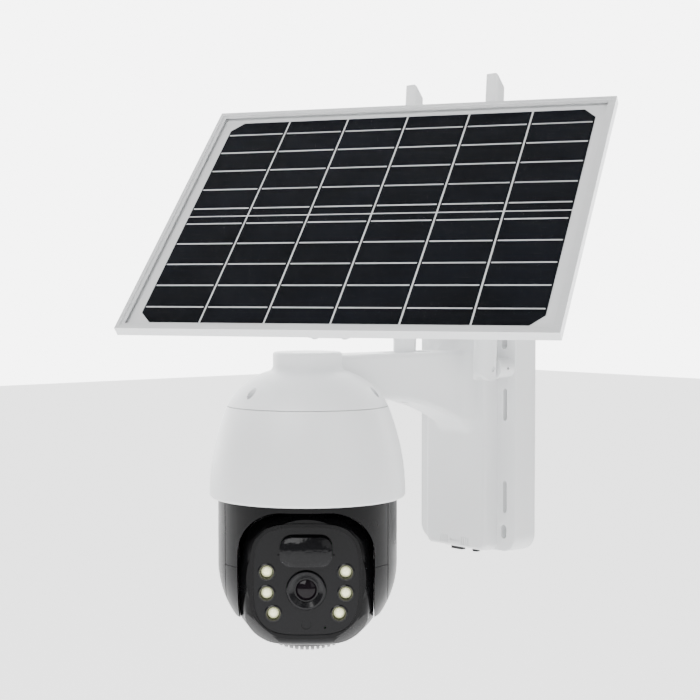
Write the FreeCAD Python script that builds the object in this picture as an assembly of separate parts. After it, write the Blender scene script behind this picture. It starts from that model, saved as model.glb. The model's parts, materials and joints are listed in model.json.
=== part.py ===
"""Solar powered pan and tilt security camera, one STEP file per piece, in millimetres.

Frame: X to the right seen from the front, Y towards the wall, Z up, origin at the middle of the
wall face of the box.  The camera head and the solar panel are drawn square to the box in frames
of their own and are then turned to the angles at which they are stored.
"""
import FreeCAD, Part
import math
import os

Vector = FreeCAD.Vector
X_AXIS = Vector(1, 0, 0)
Y_AXIS = Vector(0, 1, 0)
Z_AXIS = Vector(0, 0, 1)

# ---------------------------------------------------------------- shared clearances
RUNNING_CLEARANCE = 0.05        # radial, shaft in a bush
MOVING_GAP = 0.5                # between faces that pass each other
WALL = 2.4                      # moulded wall
SCREW_RADIUS = 0.95             # core of the small self-tapping screws
SCREW_HEAD_RADIUS = 1.9
SCREW_HEAD_HEIGHT = 1.5
SCREW_CLEAR_RADIUS = 1.2

# ---------------------------------------------------------------- wall box
BOX_WIDTH = 88.0
BOX_HEIGHT = 148.8
BOX_DEPTH = 18.7
BOX_CORNER = 11.0
BOX_EDGE = 1.0
COVER_WIDTH = 55.8              # raised middle, where it meets the flange
COVER_DRAFT = 0.9
COVER_RISE = 11.3
COVER_CORNER = 5.0
COVER_EDGE = 2.4
SEAL_LAND = 4.5                 # face between the battery bay and the edge of the cover
GASKET_WIDTH = 2.0
GASKET_DEPTH = 1.6
BOSS_RADIUS = 2.8
BOSS_INSET = 2.0                # bay corner to screw axis
HEAD_SINK = 8.0                 # depth of the counterbores behind the box
PILL_WIDTH = 5.0
PILL_LENGTH = 9.0
PILL_FROM_END = 12.9            # end of the box to the middle of a screw slot
STRAP_WIDTH = 3.4
STRAP_LENGTH = 21.0
STRAP_FROM_TOP = 53.2
STRAP_FROM_BOTTOM = 35.7
SLOT_RIM = 2.0                  # wall of the tube moulded round a slot
PILL_SHIFT = -2.15              # slots from the middle of the flange
STRAP_SHIFT = -1.25

COVER_HALF = COVER_WIDTH / 2
BAY_HALF_WIDTH = COVER_HALF - SEAL_LAND
BAY_HALF_HEIGHT = BOX_HEIGHT / 2 - SEAL_LAND
FLANGE_FACE = -BOX_DEPTH
COVER_FACE = -BOX_DEPTH - COVER_RISE
COVER_INSIDE = COVER_FACE + WALL
FLANGE_MIDDLE = (COVER_HALF + BOX_WIDTH / 2) / 2
PILL_X = FLANGE_MIDDLE + PILL_SHIFT
PILL_Z = BOX_HEIGHT / 2 - PILL_FROM_END
STRAP_X = FLANGE_MIDDLE + STRAP_SHIFT
STRAP_HEIGHTS = (BOX_HEIGHT / 2 - STRAP_FROM_TOP, STRAP_FROM_BOTTOM - BOX_HEIGHT / 2)
BOSS_X = BAY_HALF_WIDTH - BOSS_INSET
BOSS_Z = BAY_HALF_HEIGHT - BOSS_INSET

# battery and charging
CELL_SIDE_ROOM = 5.1            # half the bay's width left beside a pair of cells
CELL_END_ROOM = 4.4
CELL_SPACING = 0.2
BOARD_THICKNESS = 1.6
CHARGE_BOARD_WIDTH = 35.0
CHARGE_BOARD_HEIGHT = 72.0
SOCKET_X = -2.0
SOCKET_WIDTH = 9.0
SOCKET_DEPTH = 3.6
SOCKET_HEIGHT = 6.5
SOCKET_WALL = 0.4
CAP_WIDTH = 10.6
CAP_DEPTH = 4.6
CAP_THICKNESS = 1.8
CAP_STEM_GAP = 0.25
BUTTON_X = 14.6
BUTTON_RADIUS = 2.6
BUTTON_PROUD = 1.6
BUTTON_TRAVEL = 1.0
BUTTON_RIM = 0.9
BUTTON_CLEARANCE = 0.4
SWITCH_SIZE = 5.0

# ribs and slot low on the front cover
RIB_COUNT = 4
RIB_PITCH = 2.0
RIB_WIDTH = 0.8
RIB_DEPTH = 0.5
RIB_HEIGHT = 5.4
RIB_FIRST_X = 6.6
RIB_LOW = 2.2                   # bottom edge of the cover to the ribs
VENT_WIDTH = 8.4
VENT_HEIGHT = 1.6

# ---------------------------------------------------------------- arm and dome
ARM_WIDTH = 28.0
ARM_REACH = 125.4               # front cover to the axis of the dome
ARM_TOP_DROP = 18.3             # top of the box to the top of the arm
ARM_HEIGHT = 28.5
ARM_ROOT_DROP = 23.0            # how much deeper the arm is where it meets the box
ARM_ARCH_LENGTH = 77.0
ARM_EDGE = 3.4
ARM_ROOT_BLEND = 8.0
CAP_RADIUS = 21.0
CAP_RISE = 2.1                  # cap above the arm
CAP_SIDE = 8.4
CAP_EDGE = 1.8
SEAM_DROP = 30.1                # top of the arm to the seam of the dome
SEAM_RADIUS = 48.7
SKIRT_HEIGHT = 55.0
SKIRT_WALL = 2.5
SKIRT_GAP = 2.6                 # skirt to yoke
SKIRT_LIP = 2.6                 # inward ledge at the seam
SEAM_GROOVE = 0.45
DOME_SCREW_CIRCLE = 42.5
DOME_SCREW_ANGLES = (-90.0, 30.0, 150.0)
DOME_SCREW_RADIUS = 1.4
DOME_HEAD_RADIUS = 2.7
DOME_BOSS_RADIUS = 4.3
DOME_HEAD_LEVEL = 5.2           # seam to the floor of the recess
PAD_WIDTH = 23.0
PAD_LENGTH = 36.0
PAD_DEPTH = 0.8
PAD_CORNER = 8.0
ARM_TOP = BOX_HEIGHT / 2 - ARM_TOP_DROP
ARM_BOTTOM = ARM_TOP - ARM_HEIGHT
DOME_Y = COVER_FACE - ARM_REACH
SEAM_Z = ARM_TOP - SEAM_DROP
RIM_Z = SEAM_Z - SKIRT_HEIGHT

# ---------------------------------------------------------------- head and yoke
PAN_REST = 49.0                 # degrees, head turned from straight ahead towards +X
BALL_RADIUS = 49.3
BALL_SIDE_CUT = 9.6             # ball radius to its flat sides
EAR_GAP = 0.6                   # flat side of the ball to the ear
YOKE_WALL = 4.9                 # ball radius to the outside of the yoke
YOKE_TOP_RISE = 10.0            # yoke top above the rim of the skirt
BALL_DROP = 45.0                # rim of the skirt to the centre of the ball
HOOD_REACH = 2.7                # corners of the face housing beyond the ball
BAY_CLEARANCE = 0.7             # face housing to the hollow of the yoke
ARCH_DROP = 3.4                 # rim of the skirt to the top of the opening
ARCH_CORNER = 27.0
EAR_DROP = 27.0                 # centre of the ball to the end of the ears
EAR_COVER_LINE = 5.8            # outside of the yoke to the seam of the ear covers
EAR_SEAM = 0.35
EAR_JOINT_RISE = 7.2            # centre of the ball to the short joint line on the ears
EAR_JOINT_DEPTH = 0.5
EAR_COVER_WALL = 2.0
EAR_WALL = 3.0
EAR_POCKET_RADIUS = 15.0
AXLE_RADIUS = 6.0
AXLE_BORE = 3.4
AXLE_FLANGE_RADIUS = 9.0
AXLE_FLANGE = 1.5
HEAD_WALL = 2.4
HEAD_SPLIT = 9.0                # plane between the two halves, behind the axle
FACE_DEPTH = 34.6               # centre of the ball to the face
FACE_HALF_WIDTH = 31.0
FACE_TOP = 30.6
FACE_BOTTOM = 32.8
BEZEL_WIDTH = 2.2
BEZEL_PROUD = 0.9
BEZEL_DEPTH = 3.6
WINDOW_THICKNESS = 2.2
FACE_POWER = 3.5                # how square the face is: 2 is an ellipse
FACE_STEPS = 48
HOOD_SECTIONS = ((8.0, 16.0), (7.6, 26.0), (6.4, 30.6), (4.4, 33.2))    # growth and depth
YOKE_RADIUS = BALL_RADIUS + YOKE_WALL
RIM_RADIUS = YOKE_RADIUS + SKIRT_GAP + SKIRT_WALL
BALL_FLAT = BALL_RADIUS - BALL_SIDE_CUT
EAR_INSIDE = BALL_FLAT + EAR_GAP
EAR_LINE = YOKE_RADIUS - EAR_COVER_LINE
BALL_Z = RIM_Z - BALL_DROP
YOKE_TOP = RIM_Z + YOKE_TOP_RISE

# lens, lights and sensors, placed from the centre of the ball
LENS_Z = -6.3
LENS_RADIUS = 11.6
LENS_PROUD = 2.6
LENS_THROAT = 7.3
LENS_GLASS_RADIUS = 6.2
LENS_LENGTH = 24.0
LENS_HOLE_GAP = 0.3
PIR_Z = 17.0
PIR_WIDTH = 30.6
PIR_HEIGHT = 17.2
PIR_CORNER = 6.5
PIR_BULGE_WIDTH = 42.0
PIR_BULGE_HEIGHT = 27.0
PIR_BULGE = 9.0
PIR_WALL = 1.2
PIR_LIP = 1.6
PIR_LIP_PROUD = 1.4
PIR_HOLE_GAP = 0.2
LIGHT_PLACES = ((23.2, 4.3), (23.2, -8.2), (19.3, -20.1))
LIGHT_RADIUS = 5.1
LIGHT_THROAT = 3.5
LIGHT_DOME_RADIUS = 3.2
LIGHT_HOLE_GAP = 0.15
SENSOR_Z = -26.5
SENSOR_RADIUS = 2.9
MIC_PLACE = (11.0, -28.4)
MIC_HOLE_RADIUS = 0.7
GRILLE_LEVEL = 8.3              # bottom of the ball to the seat of the grille
GRILLE_INSET = 0.9
GRILLE_PITCH = 3.2
GRILLE_SLOT = 1.5
GRILLE_FLOOR = 1.0
GRILLE_SLOTS = 12
SPEAKER_RADIUS = 14.0
SPEAKER_HEIGHT = 6.0
LIGHT_BOARD_GAP = 1.2           # window to the lamp board
CARD_COVER_WIDTH = 20.0
CARD_COVER_HEIGHT = 8.0
CARD_COVER_THICKNESS = 1.4
CARD_COVER_Z = -18.0

# ---------------------------------------------------------------- pan and tilt drives
DECK_LEVEL = 13.0               # seam to the underside of the deck, downwards
DECK_THICKNESS = 3.0
DECK_GAP = 1.2                  # deck edge to skirt
SPINDLE_RADIUS = 11.0
SPINDLE_BORE = 7.0
SPINDLE_FLANGE_RADIUS = 20.0
SPINDLE_FLANGE = 3.0
CLIP_GAP = 0.3
CLIP_THICKNESS = 1.2
CLIP_WIDTH = 2.4
CLIP_GROOVE = 1.0
GEAR_THICKNESS = 5.0
GEAR_PRESSURE_ANGLE = 25.0
GEAR_BACKLASH = 0.16
TOOTH_TIP = 0.85                # times the module
TOOTH_ROOT = 1.15
PAN_MODULE = 0.8
PAN_GEAR_TEETH = 56
PAN_PINION_TEETH = 14
PAN_MOTOR_ANGLE = -30.0
PAN_MOTOR_RADIUS = 10.0
PAN_MOTOR_HEIGHT = 14.0
GEAR_BELOW_DECK = 4.0
TILT_MODULE = 0.7
TILT_GEAR_TEETH = 36
TILT_PINION_TEETH = 12
TILT_GEAR_THICKNESS = 3.0
TILT_GEAR_INSET = 3.0           # inside of the head wall to the gear
TILT_MOTOR_RADIUS = 7.5
TILT_MOTOR_LENGTH = 16.0
MOTOR_SHAFT_RADIUS = 1.5
STANDOFF_RADIUS = 2.0
STANDOFF_CIRCLE = 26.0
STANDOFF_ANGLES = (90.0, 200.0, 270.0)
MAIN_BOARD_RADIUS = 29.0
MAIN_BOARD_ABOVE_DECK = 18.0

# ---------------------------------------------------------------- antennas
ANTENNA_SHIFT = 1.35            # from the middle of the flange
ANTENNA_FROM_TOP = 29.0
ANTENNA_PIVOT_REACH = 21.75     # flange to the fold pin
ANTENNA_LEAN = 2.8              # degrees, back from upright
ANTENNA_FOLD_BACK = 8.0         # degrees, until the tip meets the wall
FOLD_MARGIN = 0.5
ANTENNA_LENGTH = 187.0          # fold pin to the tip
ANTENNA_RADIUS = 7.33
ANTENNA_ROUND_LENGTH = 34.0
ANTENNA_TIP_WIDTH = 10.2
ANTENNA_TIP_DEPTH = 7.9
ANTENNA_TIP_CORNER = 1.6
ANTENNA_WEDGE = 10.8
ANTENNA_HEEL_RADIUS = 7.45
STUB_RADIUS = 6.25
STUB_THREAD_RADIUS = 3.2
SWIVEL_DISC_RADIUS = 6.9
SWIVEL_DISC = 2.0
SWIVEL_GAP = 0.3
SWIVEL_SPIGOT_RADIUS = 3.0
TONGUE_HALF = 2.2
TONGUE_GAP = 0.25
FOLD_PIN_RADIUS = 1.6
PIN_INSET = 0.9
SET_SCREW_RADIUS = 1.0
SET_SCREW_REACH = 6.5

# ---------------------------------------------------------------- solar panel and its neck
PANEL_WIDTH = 262.6
PANEL_HEIGHT = 200.1
FRAME_DEPTH = 5.8
FRAME_LIP = 4.7
FRAME_LIP_THICKNESS = 1.2
FRAME_STEP = 0.5
FRAME_STEP_AT = 2.4
FRAME_WALL = 1.4
FRAME_FLANGE = 9.0
LAMINATE_GAP = 0.3
GLASS_THICKNESS = 1.6
CELL_THICKNESS = 0.3
WIRE_THICKNESS = 0.15
SHEET_THICKNESS = 0.8
CELL_COLUMNS = 6
CELL_ROWS = 2
CELL_GAP = 1.2
CELL_SIDE_MARGIN = 11.0         # panel edge to the cells
CELL_END_MARGIN = 8.2
CELL_CHAMFER = 7.6
WIRES_PER_CELL = 5
WIRE_WIDTH = 0.9
WIRE_FIRST = 12.4               # outer edge of a cell to its first wire
WIRE_LAST = 6.4
WIRE_INSET = 1.0
PANEL_SWIVEL_REST = 28.0        # degrees, panel turned towards +X
PANEL_TILT_REST = 43.8          # degrees from level
PANEL_SIDE_SHIFT = 5.1          # middle of the panel from the plane of the neck
HINGE_FORWARD = 63.5            # neck axis to the tilt axis
HINGE_ABOVE_ARM = 73.7
HINGE_BEHIND_FACE = 18.0
NECK_FORWARD = 45.7             # front cover to the neck axis
NECK_RADIUS = 6.85
NECK_HEIGHT = 25.4
NECK_SPIGOT_RADIUS = 4.5
NECK_STUD_RADIUS = 3.15
NECK_STUD_LENGTH = 13.0
NECK_NUT_RADIUS = 6.0
NECK_NUT_HEIGHT = 4.0
NECK_BOSS_RADIUS = 7.0
NECK_BOSS_HEIGHT = 5.0
COLLAR_RADIUS = 9.5
COLLAR_HEIGHT = 16.0
NECK_CAP_RADIUS = 7.5
NECK_CAP_HEIGHT = 2.6
NECK_CAP_GAP = 0.4
BAR_HALF_WIDTH = 5.0
BAR_HALF_HEIGHT = 5.5
LUG_RADIUS = 8.0
LUG_THICKNESS = 7.0
LUG_GAP = 0.3
BOLT_RADIUS = 3.0
BOLT_HEAD_RADIUS = 5.5
BOLT_HEAD = 3.5
KNOB_RADIUS = 9.0
KNOB_LENGTH = 9.0
KNOB_LOBES = 6
KNOB_SCALLOP = 3.0
STRAP_BAR_WIDTH = 30.0
STRAP_BAR_THICKNESS = 2.0
RIVET_RADIUS = 1.6
RIVET_HEAD_RADIUS = 3.0
RIVET_HEAD = 1.0
JUNCTION_WIDTH = 46.0
JUNCTION_HEIGHT = 34.0
JUNCTION_DEPTH = 11.0
JUNCTION_PLACE = (62.0, 52.0)
GLAND_RADIUS = 5.0
GLAND_HOLE_RADIUS = 2.4
GLAND_LENGTH = 9.0
NECK_Y = COVER_FACE - NECK_FORWARD


# ================================================================ drawing helpers
def block(low_x, high_x, low_y, high_y, low_z, high_z):
    """Box between two corners."""
    size = (high_x - low_x, high_y - low_y, high_z - low_z)
    return Part.makeBox(*size, Vector(low_x, low_y, low_z))


def rod(radius, base, direction, length):
    """Cylinder from base along direction."""
    return Part.makeCylinder(radius, length, Vector(*base), direction)


def turned(shape, degrees, axis=Z_AXIS, centre=(0, 0, 0)):
    """Copy of shape turned about an axis."""
    copy = shape.copy()
    copy.rotate(Vector(*centre), axis, degrees)
    return copy


def moved(shape, x=0.0, y=0.0, z=0.0):
    """Copy of shape moved."""
    copy = shape.copy()
    copy.translate(Vector(x, y, z))
    return copy


def mirrored(shape):
    """Copy of shape mirrored to the other side of the box."""
    return shape.mirror(Vector(0, 0, 0), X_AXIS)


def merged(shapes):
    """One solid from several that meet."""
    first = shapes[0]
    rest = list(shapes[1:])
    return first.fuse(rest).removeSplitter()


def outline(to_space, start, steps):
    """Closed face from line steps (u, v) and arc steps (mid u, mid v, u, v)."""
    edges = []
    here = start
    for step in list(steps) + [start]:
        end = step[-2:]
        if len(step) == 4:
            arc = Part.Arc(to_space(*here), to_space(*step[:2]), to_space(*end))
            edges.append(arc.toShape())
        else:
            edges.append(Part.LineSegment(to_space(*here), to_space(*end)).toShape())
        here = end
    return Part.Face(Part.Wire(edges))


def revolved(start, steps):
    """Solid turned about Z from a profile of radius and height."""
    face = outline(lambda r, z: Vector(r, 0, z), start, steps)
    return face.revolve(Vector(0, 0, 0), Z_AXIS, 360)


def side_profile(start, steps, half_width):
    """Solid from a profile in Y and Z, as wide as twice half_width."""
    face = outline(lambda y, z: Vector(-half_width, y, z), start, steps)
    return face.extrude(Vector(2 * half_width, 0, 0))


def rounded_wire(width, height, corner, level=0.0):
    """Rounded rectangle about the origin in X and Y."""
    half_x = width / 2
    half_y = height / 2
    cut = corner * (1 - math.sqrt(0.5))
    points = []
    for sign_x, sign_y in ((1, 1), (-1, 1), (-1, -1), (1, -1)):
        ends = [(sign_x * half_x, sign_y * (half_y - corner)),
                (sign_x * (half_x - cut), sign_y * (half_y - cut)),
                (sign_x * (half_x - corner), sign_y * half_y)]
        points.append(ends if sign_x * sign_y > 0 else ends[::-1])
    edges = []
    for index, (first, middle, last) in enumerate(points):
        nxt = points[(index + 1) % 4][0]
        arc = Part.Arc(*[Vector(*p, level) for p in (first, middle, last)])
        edges.append(arc.toShape())
        edges.append(Part.LineSegment(Vector(*last, level), Vector(*nxt, level)).toShape())
    return Part.Wire(edges)


def rounded_plate(width, height, corner, low, high):
    """Rounded rectangle in X and Y, between two levels of Z."""
    face = Part.Face(rounded_wire(width, height, corner, low))
    return face.extrude(Vector(0, 0, high - low))


def upright(shape, y=0.0):
    """Stand a piece drawn on X and Y against the wall: its Z becomes -Y, its Y becomes Z."""
    return moved(turned(shape, 90, X_AXIS), y=y)


def upright_plate(width, height, corner, near_wall, far, x=0.0, z=0.0):
    """Rounded plate parallel to the wall, between two places in Y."""
    flat = rounded_plate(width, height, corner, 0, near_wall - far)
    return moved(upright(flat, near_wall), x=x, z=z)


def upright_slot(width, length, near_wall, far, x, z):
    """Slot with round ends, standing upright, through from near_wall to far."""
    straight = length - width
    tool = block(x - width / 2, x + width / 2, far, near_wall, z - straight / 2, z + straight / 2)
    depth = near_wall - far
    for end in (-1, 1):
        tool = tool.fuse(rod(width / 2, (x, far, z + end * straight / 2), Y_AXIS, depth))
    return tool


def gear_shape(teeth, module, thickness):
    """Spur gear about Z with a tooth on +X."""
    pitch = teeth * module / 2
    pressure = math.radians(GEAR_PRESSURE_ANGLE)
    base = pitch * math.cos(pressure)
    tip = pitch + TOOTH_TIP * module
    root = pitch - TOOTH_ROOT * module
    flank_start = max(base, root)
    half_at_pitch = math.pi / (2 * teeth) - GEAR_BACKLASH / (2 * pitch)
    flank = []
    for step in range(4):
        radius = flank_start + (tip - flank_start) * step / 3
        angle = math.acos(min(1.0, base / radius))
        half = half_at_pitch + math.tan(pressure) - pressure - math.tan(angle) + angle
        flank.append((radius, half))
    corners = []
    for tooth in range(teeth):
        middle = 2 * math.pi * tooth / teeth
        rising = [(root, -flank[0][1])] + [(radius, -half) for radius, half in flank]
        falling = [(radius, half) for radius, half in reversed(flank)] + [(root, flank[0][1])]
        for radius, offset in rising + falling:
            angle = middle + offset
            corners.append(Vector(radius * math.cos(angle), radius * math.sin(angle), 0))
    corners.append(corners[0])
    face = Part.Face(Part.makePolygon(corners))
    return face.extrude(Vector(0, 0, thickness))


def face_outline(grow, level):
    """Rounded face of the head, in X and Y about the centre of the ball, as a smooth wire."""
    power = 2 / FACE_POWER
    points = []
    for step in range(FACE_STEPS):
        angle = 2 * math.pi * step / FACE_STEPS
        across = math.cos(angle)
        up = math.sin(angle)
        height = FACE_TOP if up > 0 else FACE_BOTTOM
        x = math.copysign(abs(across) ** power, across) * (FACE_HALF_WIDTH + grow)
        y = math.copysign(abs(up) ** power, up) * (height + grow)
        points.append(Vector(x, y, level))
    curve = Part.BSplineCurve()
    curve.interpolate(Points=points, PeriodicFlag=True)
    return Part.Wire([curve.toShape()])


def face_plate(grow, front, back):
    """Plate with the outline of the face; front and back are distances before the ball's centre."""
    plate = Part.Face(face_outline(grow, 0)).extrude(Vector(0, 0, front - back))
    return upright(plate, -back)


def on_pan(shape):
    """Place a piece of the turning head, drawn square about the dome axis."""
    return moved(turned(shape, PAN_REST), y=DOME_Y)


def on_head(shape):
    """Place a piece of the tilting ball, drawn about the centre of the ball."""
    return on_pan(moved(shape, z=BALL_Z))


def on_neck(shape):
    """Place a piece that swivels with the panel, drawn square about the neck axis."""
    return moved(turned(shape, PANEL_SWIVEL_REST), y=NECK_Y)


def on_panel(shape):
    """Place a piece of the panel, drawn flat about the tilt axis with its long side on X."""
    tilted = turned(shape, PANEL_TILT_REST, X_AXIS)
    at_hinge = moved(tilted, PANEL_SIDE_SHIFT, -HINGE_FORWARD, ARM_TOP + HINGE_ABOVE_ARM)
    return on_neck(at_hinge)


# ================================================================ wall box
def box_screw_places():
    """Four screw axes at the corners of the battery bay."""
    return [(side * BOSS_X, end * BOSS_Z) for side in (-1, 1) for end in (-1, 1)]


def back_shell():
    """Back half of the box, with the mounting flanges."""
    flat = rounded_plate(BOX_WIDTH, BOX_HEIGHT, BOX_CORNER, 0, BOX_DEPTH)
    rim = [e for e in flat.Edges if abs(e.CenterOfMass.z - BOX_DEPTH) < 0.01]
    shell = upright(flat.makeFillet(BOX_EDGE, rim))
    inner_width = BOX_WIDTH - 2 * WALL
    inner_height = BOX_HEIGHT - 2 * WALL
    hollow = upright_plate(inner_width, inner_height, BOX_CORNER - WALL, 0, FLANGE_FACE + WALL)
    core_half = BAY_HALF_WIDTH + WALL
    core = block(-core_half, core_half, FLANGE_FACE, 0, -BOX_HEIGHT, BOX_HEIGHT)
    hollow = hollow.cut(core)
    bay = block(-BAY_HALF_WIDTH, BAY_HALF_WIDTH, FLANGE_FACE, -WALL, -BAY_HALF_HEIGHT, BAY_HALF_HEIGHT)
    for x, z in box_screw_places():
        bay = bay.cut(rod(BOSS_RADIUS, (x, FLANGE_FACE, z), Y_AXIS, BOX_DEPTH))
    slots = []
    for side in (-1, 1):
        for end in (-1, 1):
            slots.append((PILL_WIDTH, PILL_LENGTH, side * PILL_X, end * PILL_Z))
        for height in STRAP_HEIGHTS:
            slots.append((STRAP_WIDTH, STRAP_LENGTH, side * STRAP_X, height))
    for width, length, x, z in slots:
        rim_tube = upright_slot(width + 2 * SLOT_RIM, length + 2 * SLOT_RIM, 0, FLANGE_FACE, x, z)
        hollow = hollow.cut(rim_tube)
    shell = shell.cut([hollow, bay])
    shell = shell.cut([upright_slot(w, n, 0, FLANGE_FACE, x, z) for w, n, x, z in slots])
    shell = shell.cut(gasket_ring(GASKET_DEPTH))
    for x, z in box_screw_places():
        shell = shell.cut(rod(SCREW_CLEAR_RADIUS, (x, FLANGE_FACE, z), Y_AXIS, BOX_DEPTH))
        shell = shell.cut(rod(SCREW_HEAD_RADIUS + 0.2, (x, -HEAD_SINK, z), Y_AXIS, HEAD_SINK))
    for side in (-1, 1):
        x, z = antenna_place(side)
        shell = shell.cut(rod(STUB_THREAD_RADIUS, (x, FLANGE_FACE, z), Y_AXIS, WALL))
    return shell


def gasket_ring(depth):
    """Flat ring let into the face round the battery bay."""
    middle_width = COVER_WIDTH - SEAL_LAND
    middle_height = BOX_HEIGHT - SEAL_LAND
    wide = middle_width + GASKET_WIDTH
    high = middle_height + GASKET_WIDTH
    near = FLANGE_FACE + depth
    outer = upright_plate(wide, high, COVER_CORNER, near, FLANGE_FACE)
    inner_corner = COVER_CORNER - GASKET_WIDTH
    inner = upright_plate(wide - 2 * GASKET_WIDTH, high - 2 * GASKET_WIDTH, inner_corner, near, FLANGE_FACE)
    return outer.cut(inner)


def box_screws():
    """Screws driven from behind the box into the front cover."""
    screws = []
    for x, z in box_screw_places():
        head = rod(SCREW_HEAD_RADIUS, (x, -HEAD_SINK, z), Y_AXIS, SCREW_HEAD_HEIGHT)
        tip = COVER_INSIDE + 1.0
        shank = rod(SCREW_RADIUS, (x, tip, z), Y_AXIS, -HEAD_SINK - tip)
        screws.append(head.fuse(shank))
    return Part.makeCompound(screws)



def cell_diameter():
    """Cells as thick as the bay allows beside the screw bosses."""
    return BAY_HALF_WIDTH - CELL_SIDE_ROOM


def cell_length():
    """Two cells in a row fill the bay's height but for the end room."""
    return BAY_HALF_HEIGHT - CELL_END_ROOM


def battery_cells():
    """Two rows of two round cells."""
    radius = cell_diameter() / 2
    y = -WALL - radius
    cells = []
    for side in (-1, 1):
        for low in (-cell_length(), CELL_SPACING / 2):
            x = side * (radius + CELL_SPACING / 2)
            cells.append(rod(radius, (x, y, low), Z_AXIS, cell_length() - CELL_SPACING / 2))
    return Part.makeCompound(cells)


def charge_board():
    """Charging board behind the front cover, with a coil, a chip and the power switch."""
    half = CHARGE_BOARD_WIDTH / 2
    back = COVER_INSIDE + BOARD_THICKNESS
    low = bottom_inside()
    board = block(-half, half, COVER_INSIDE, back, low, low + CHARGE_BOARD_HEIGHT)
    coil = rod(4.0, (-8, back, low + 32), Y_AXIS, 2.4)
    chip = block(2, 10, back, back + 1.2, low + 40, low + 48)
    switch_low = low + BUTTON_RIM + BUTTON_TRAVEL + 0.1
    switch_half = SWITCH_SIZE / 2
    left = BUTTON_X - switch_half
    right = BUTTON_X + switch_half
    switch = block(left, right, back, port_y() + switch_half, switch_low, switch_low + SWITCH_SIZE)
    notch = rod(BUTTON_RADIUS + BUTTON_CLEARANCE, (BUTTON_X, port_y(), low), Z_AXIS, switch_low - low)
    return merged([board.cut(notch), coil, chip, switch])


def bottom_inside():
    """Level of the inside of the cover's bottom wall."""
    return -BOX_HEIGHT / 2 + WALL



def port_y():
    """Middle of the socket and of the switch, in front of their board."""
    return COVER_INSIDE + BOARD_THICKNESS + SOCKET_DEPTH / 2


def charge_socket():
    """Metal socket, open downwards."""
    half = SOCKET_WIDTH / 2
    deep = SOCKET_DEPTH / 2
    low = bottom_inside()
    y = port_y()
    body = block(SOCKET_X - half, SOCKET_X + half, y - deep, y + deep, low, low + SOCKET_HEIGHT)
    half -= SOCKET_WALL
    deep -= SOCKET_WALL
    top = low + SOCKET_HEIGHT - SOCKET_WALL
    return body.cut(block(SOCKET_X - half, SOCKET_X + half, y - deep, y + deep, low, top))


def port_cap():
    """Rubber cap under the charging socket, with a stem that plugs it."""
    bottom = -BOX_HEIGHT / 2
    plate = rounded_plate(CAP_WIDTH, CAP_DEPTH, CAP_DEPTH / 3, bottom - CAP_THICKNESS, bottom)
    plate = moved(plate, SOCKET_X, port_y())
    half = SOCKET_WIDTH / 2 - SOCKET_WALL - CAP_STEM_GAP
    deep = SOCKET_DEPTH / 2 - SOCKET_WALL - CAP_STEM_GAP
    top = bottom_inside() + SOCKET_HEIGHT - SOCKET_WALL - MOVING_GAP
    y = port_y()
    stem = block(SOCKET_X - half, SOCKET_X + half, y - deep, y + deep, bottom, top)
    return merged([plate, stem])


def power_button():
    """Rubber push button under the box."""
    bottom = -BOX_HEIGHT / 2
    inside = bottom_inside()
    y = port_y()
    low = bottom - BUTTON_PROUD
    stem = rod(BUTTON_RADIUS, (BUTTON_X, y, low), Z_AXIS, inside + BUTTON_RIM - low)
    rounded = stem.makeFillet(0.7, [stem.Edges[i] for i in lowest_edges(stem)])
    rim = rod(BUTTON_RADIUS + BUTTON_RIM, (BUTTON_X, y, inside), Z_AXIS, BUTTON_RIM)
    rim = rim.common(block(BUTTON_X - 9, BUTTON_X + 9, y - SOCKET_DEPTH / 2 + 0.2, y + 9, inside, inside + 9))
    return merged([rounded, rim])


def lowest_edges(shape):
    """Indices of the round edges at the lowest level of a shape."""
    low = shape.BoundBox.ZMin
    return [i for i, e in enumerate(shape.Edges) if abs(e.BoundBox.ZMax - low) < 0.001]



# ================================================================ arm, dome and skirt
def front_cover_block():
    """Raised middle of the box front, narrowing a little to its face."""
    base = rounded_wire(COVER_WIDTH, BOX_HEIGHT, COVER_CORNER, 0)
    face = rounded_wire(COVER_WIDTH - 2 * COVER_DRAFT, BOX_HEIGHT - COVER_DRAFT, COVER_CORNER, COVER_RISE)
    raised = Part.makeLoft([base, face], True, True)
    rim = [e for e in raised.Edges if abs(e.BoundBox.ZMin - COVER_RISE) < 0.01]
    return upright(raised.makeFillet(COVER_EDGE, rim), FLANGE_FACE)


def arm_block(shrink, root, tip):
    """Arm with a level top and an arched underside, made smaller all round by shrink."""
    top = ARM_TOP - shrink
    bottom = ARM_BOTTOM + shrink
    start = COVER_FACE - ARM_ARCH_LENGTH
    middle = COVER_FACE - ARM_ARCH_LENGTH / 2
    drop = ARM_ROOT_DROP
    steps = [(tip, bottom), (start, bottom), (middle, bottom - drop * 0.255, COVER_FACE, bottom - drop)]
    steps.append((root, bottom - drop))
    return side_profile((root, top), [(tip, top)] + steps, ARM_WIDTH / 2 - shrink)


def rounded_arm():
    """Arm with its four long edges rounded."""
    arm = arm_block(0, COVER_FACE + WALL, DOME_Y)
    half = ARM_WIDTH / 2
    long_edges = []
    for edge in arm.Edges:
        box = edge.BoundBox
        if abs(abs(box.XMin) - half) < 0.01 and box.XLength < 0.01 and box.YLength > 10:
            long_edges.append(edge)
    return arm.makeFillet(ARM_EDGE, long_edges)


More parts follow.
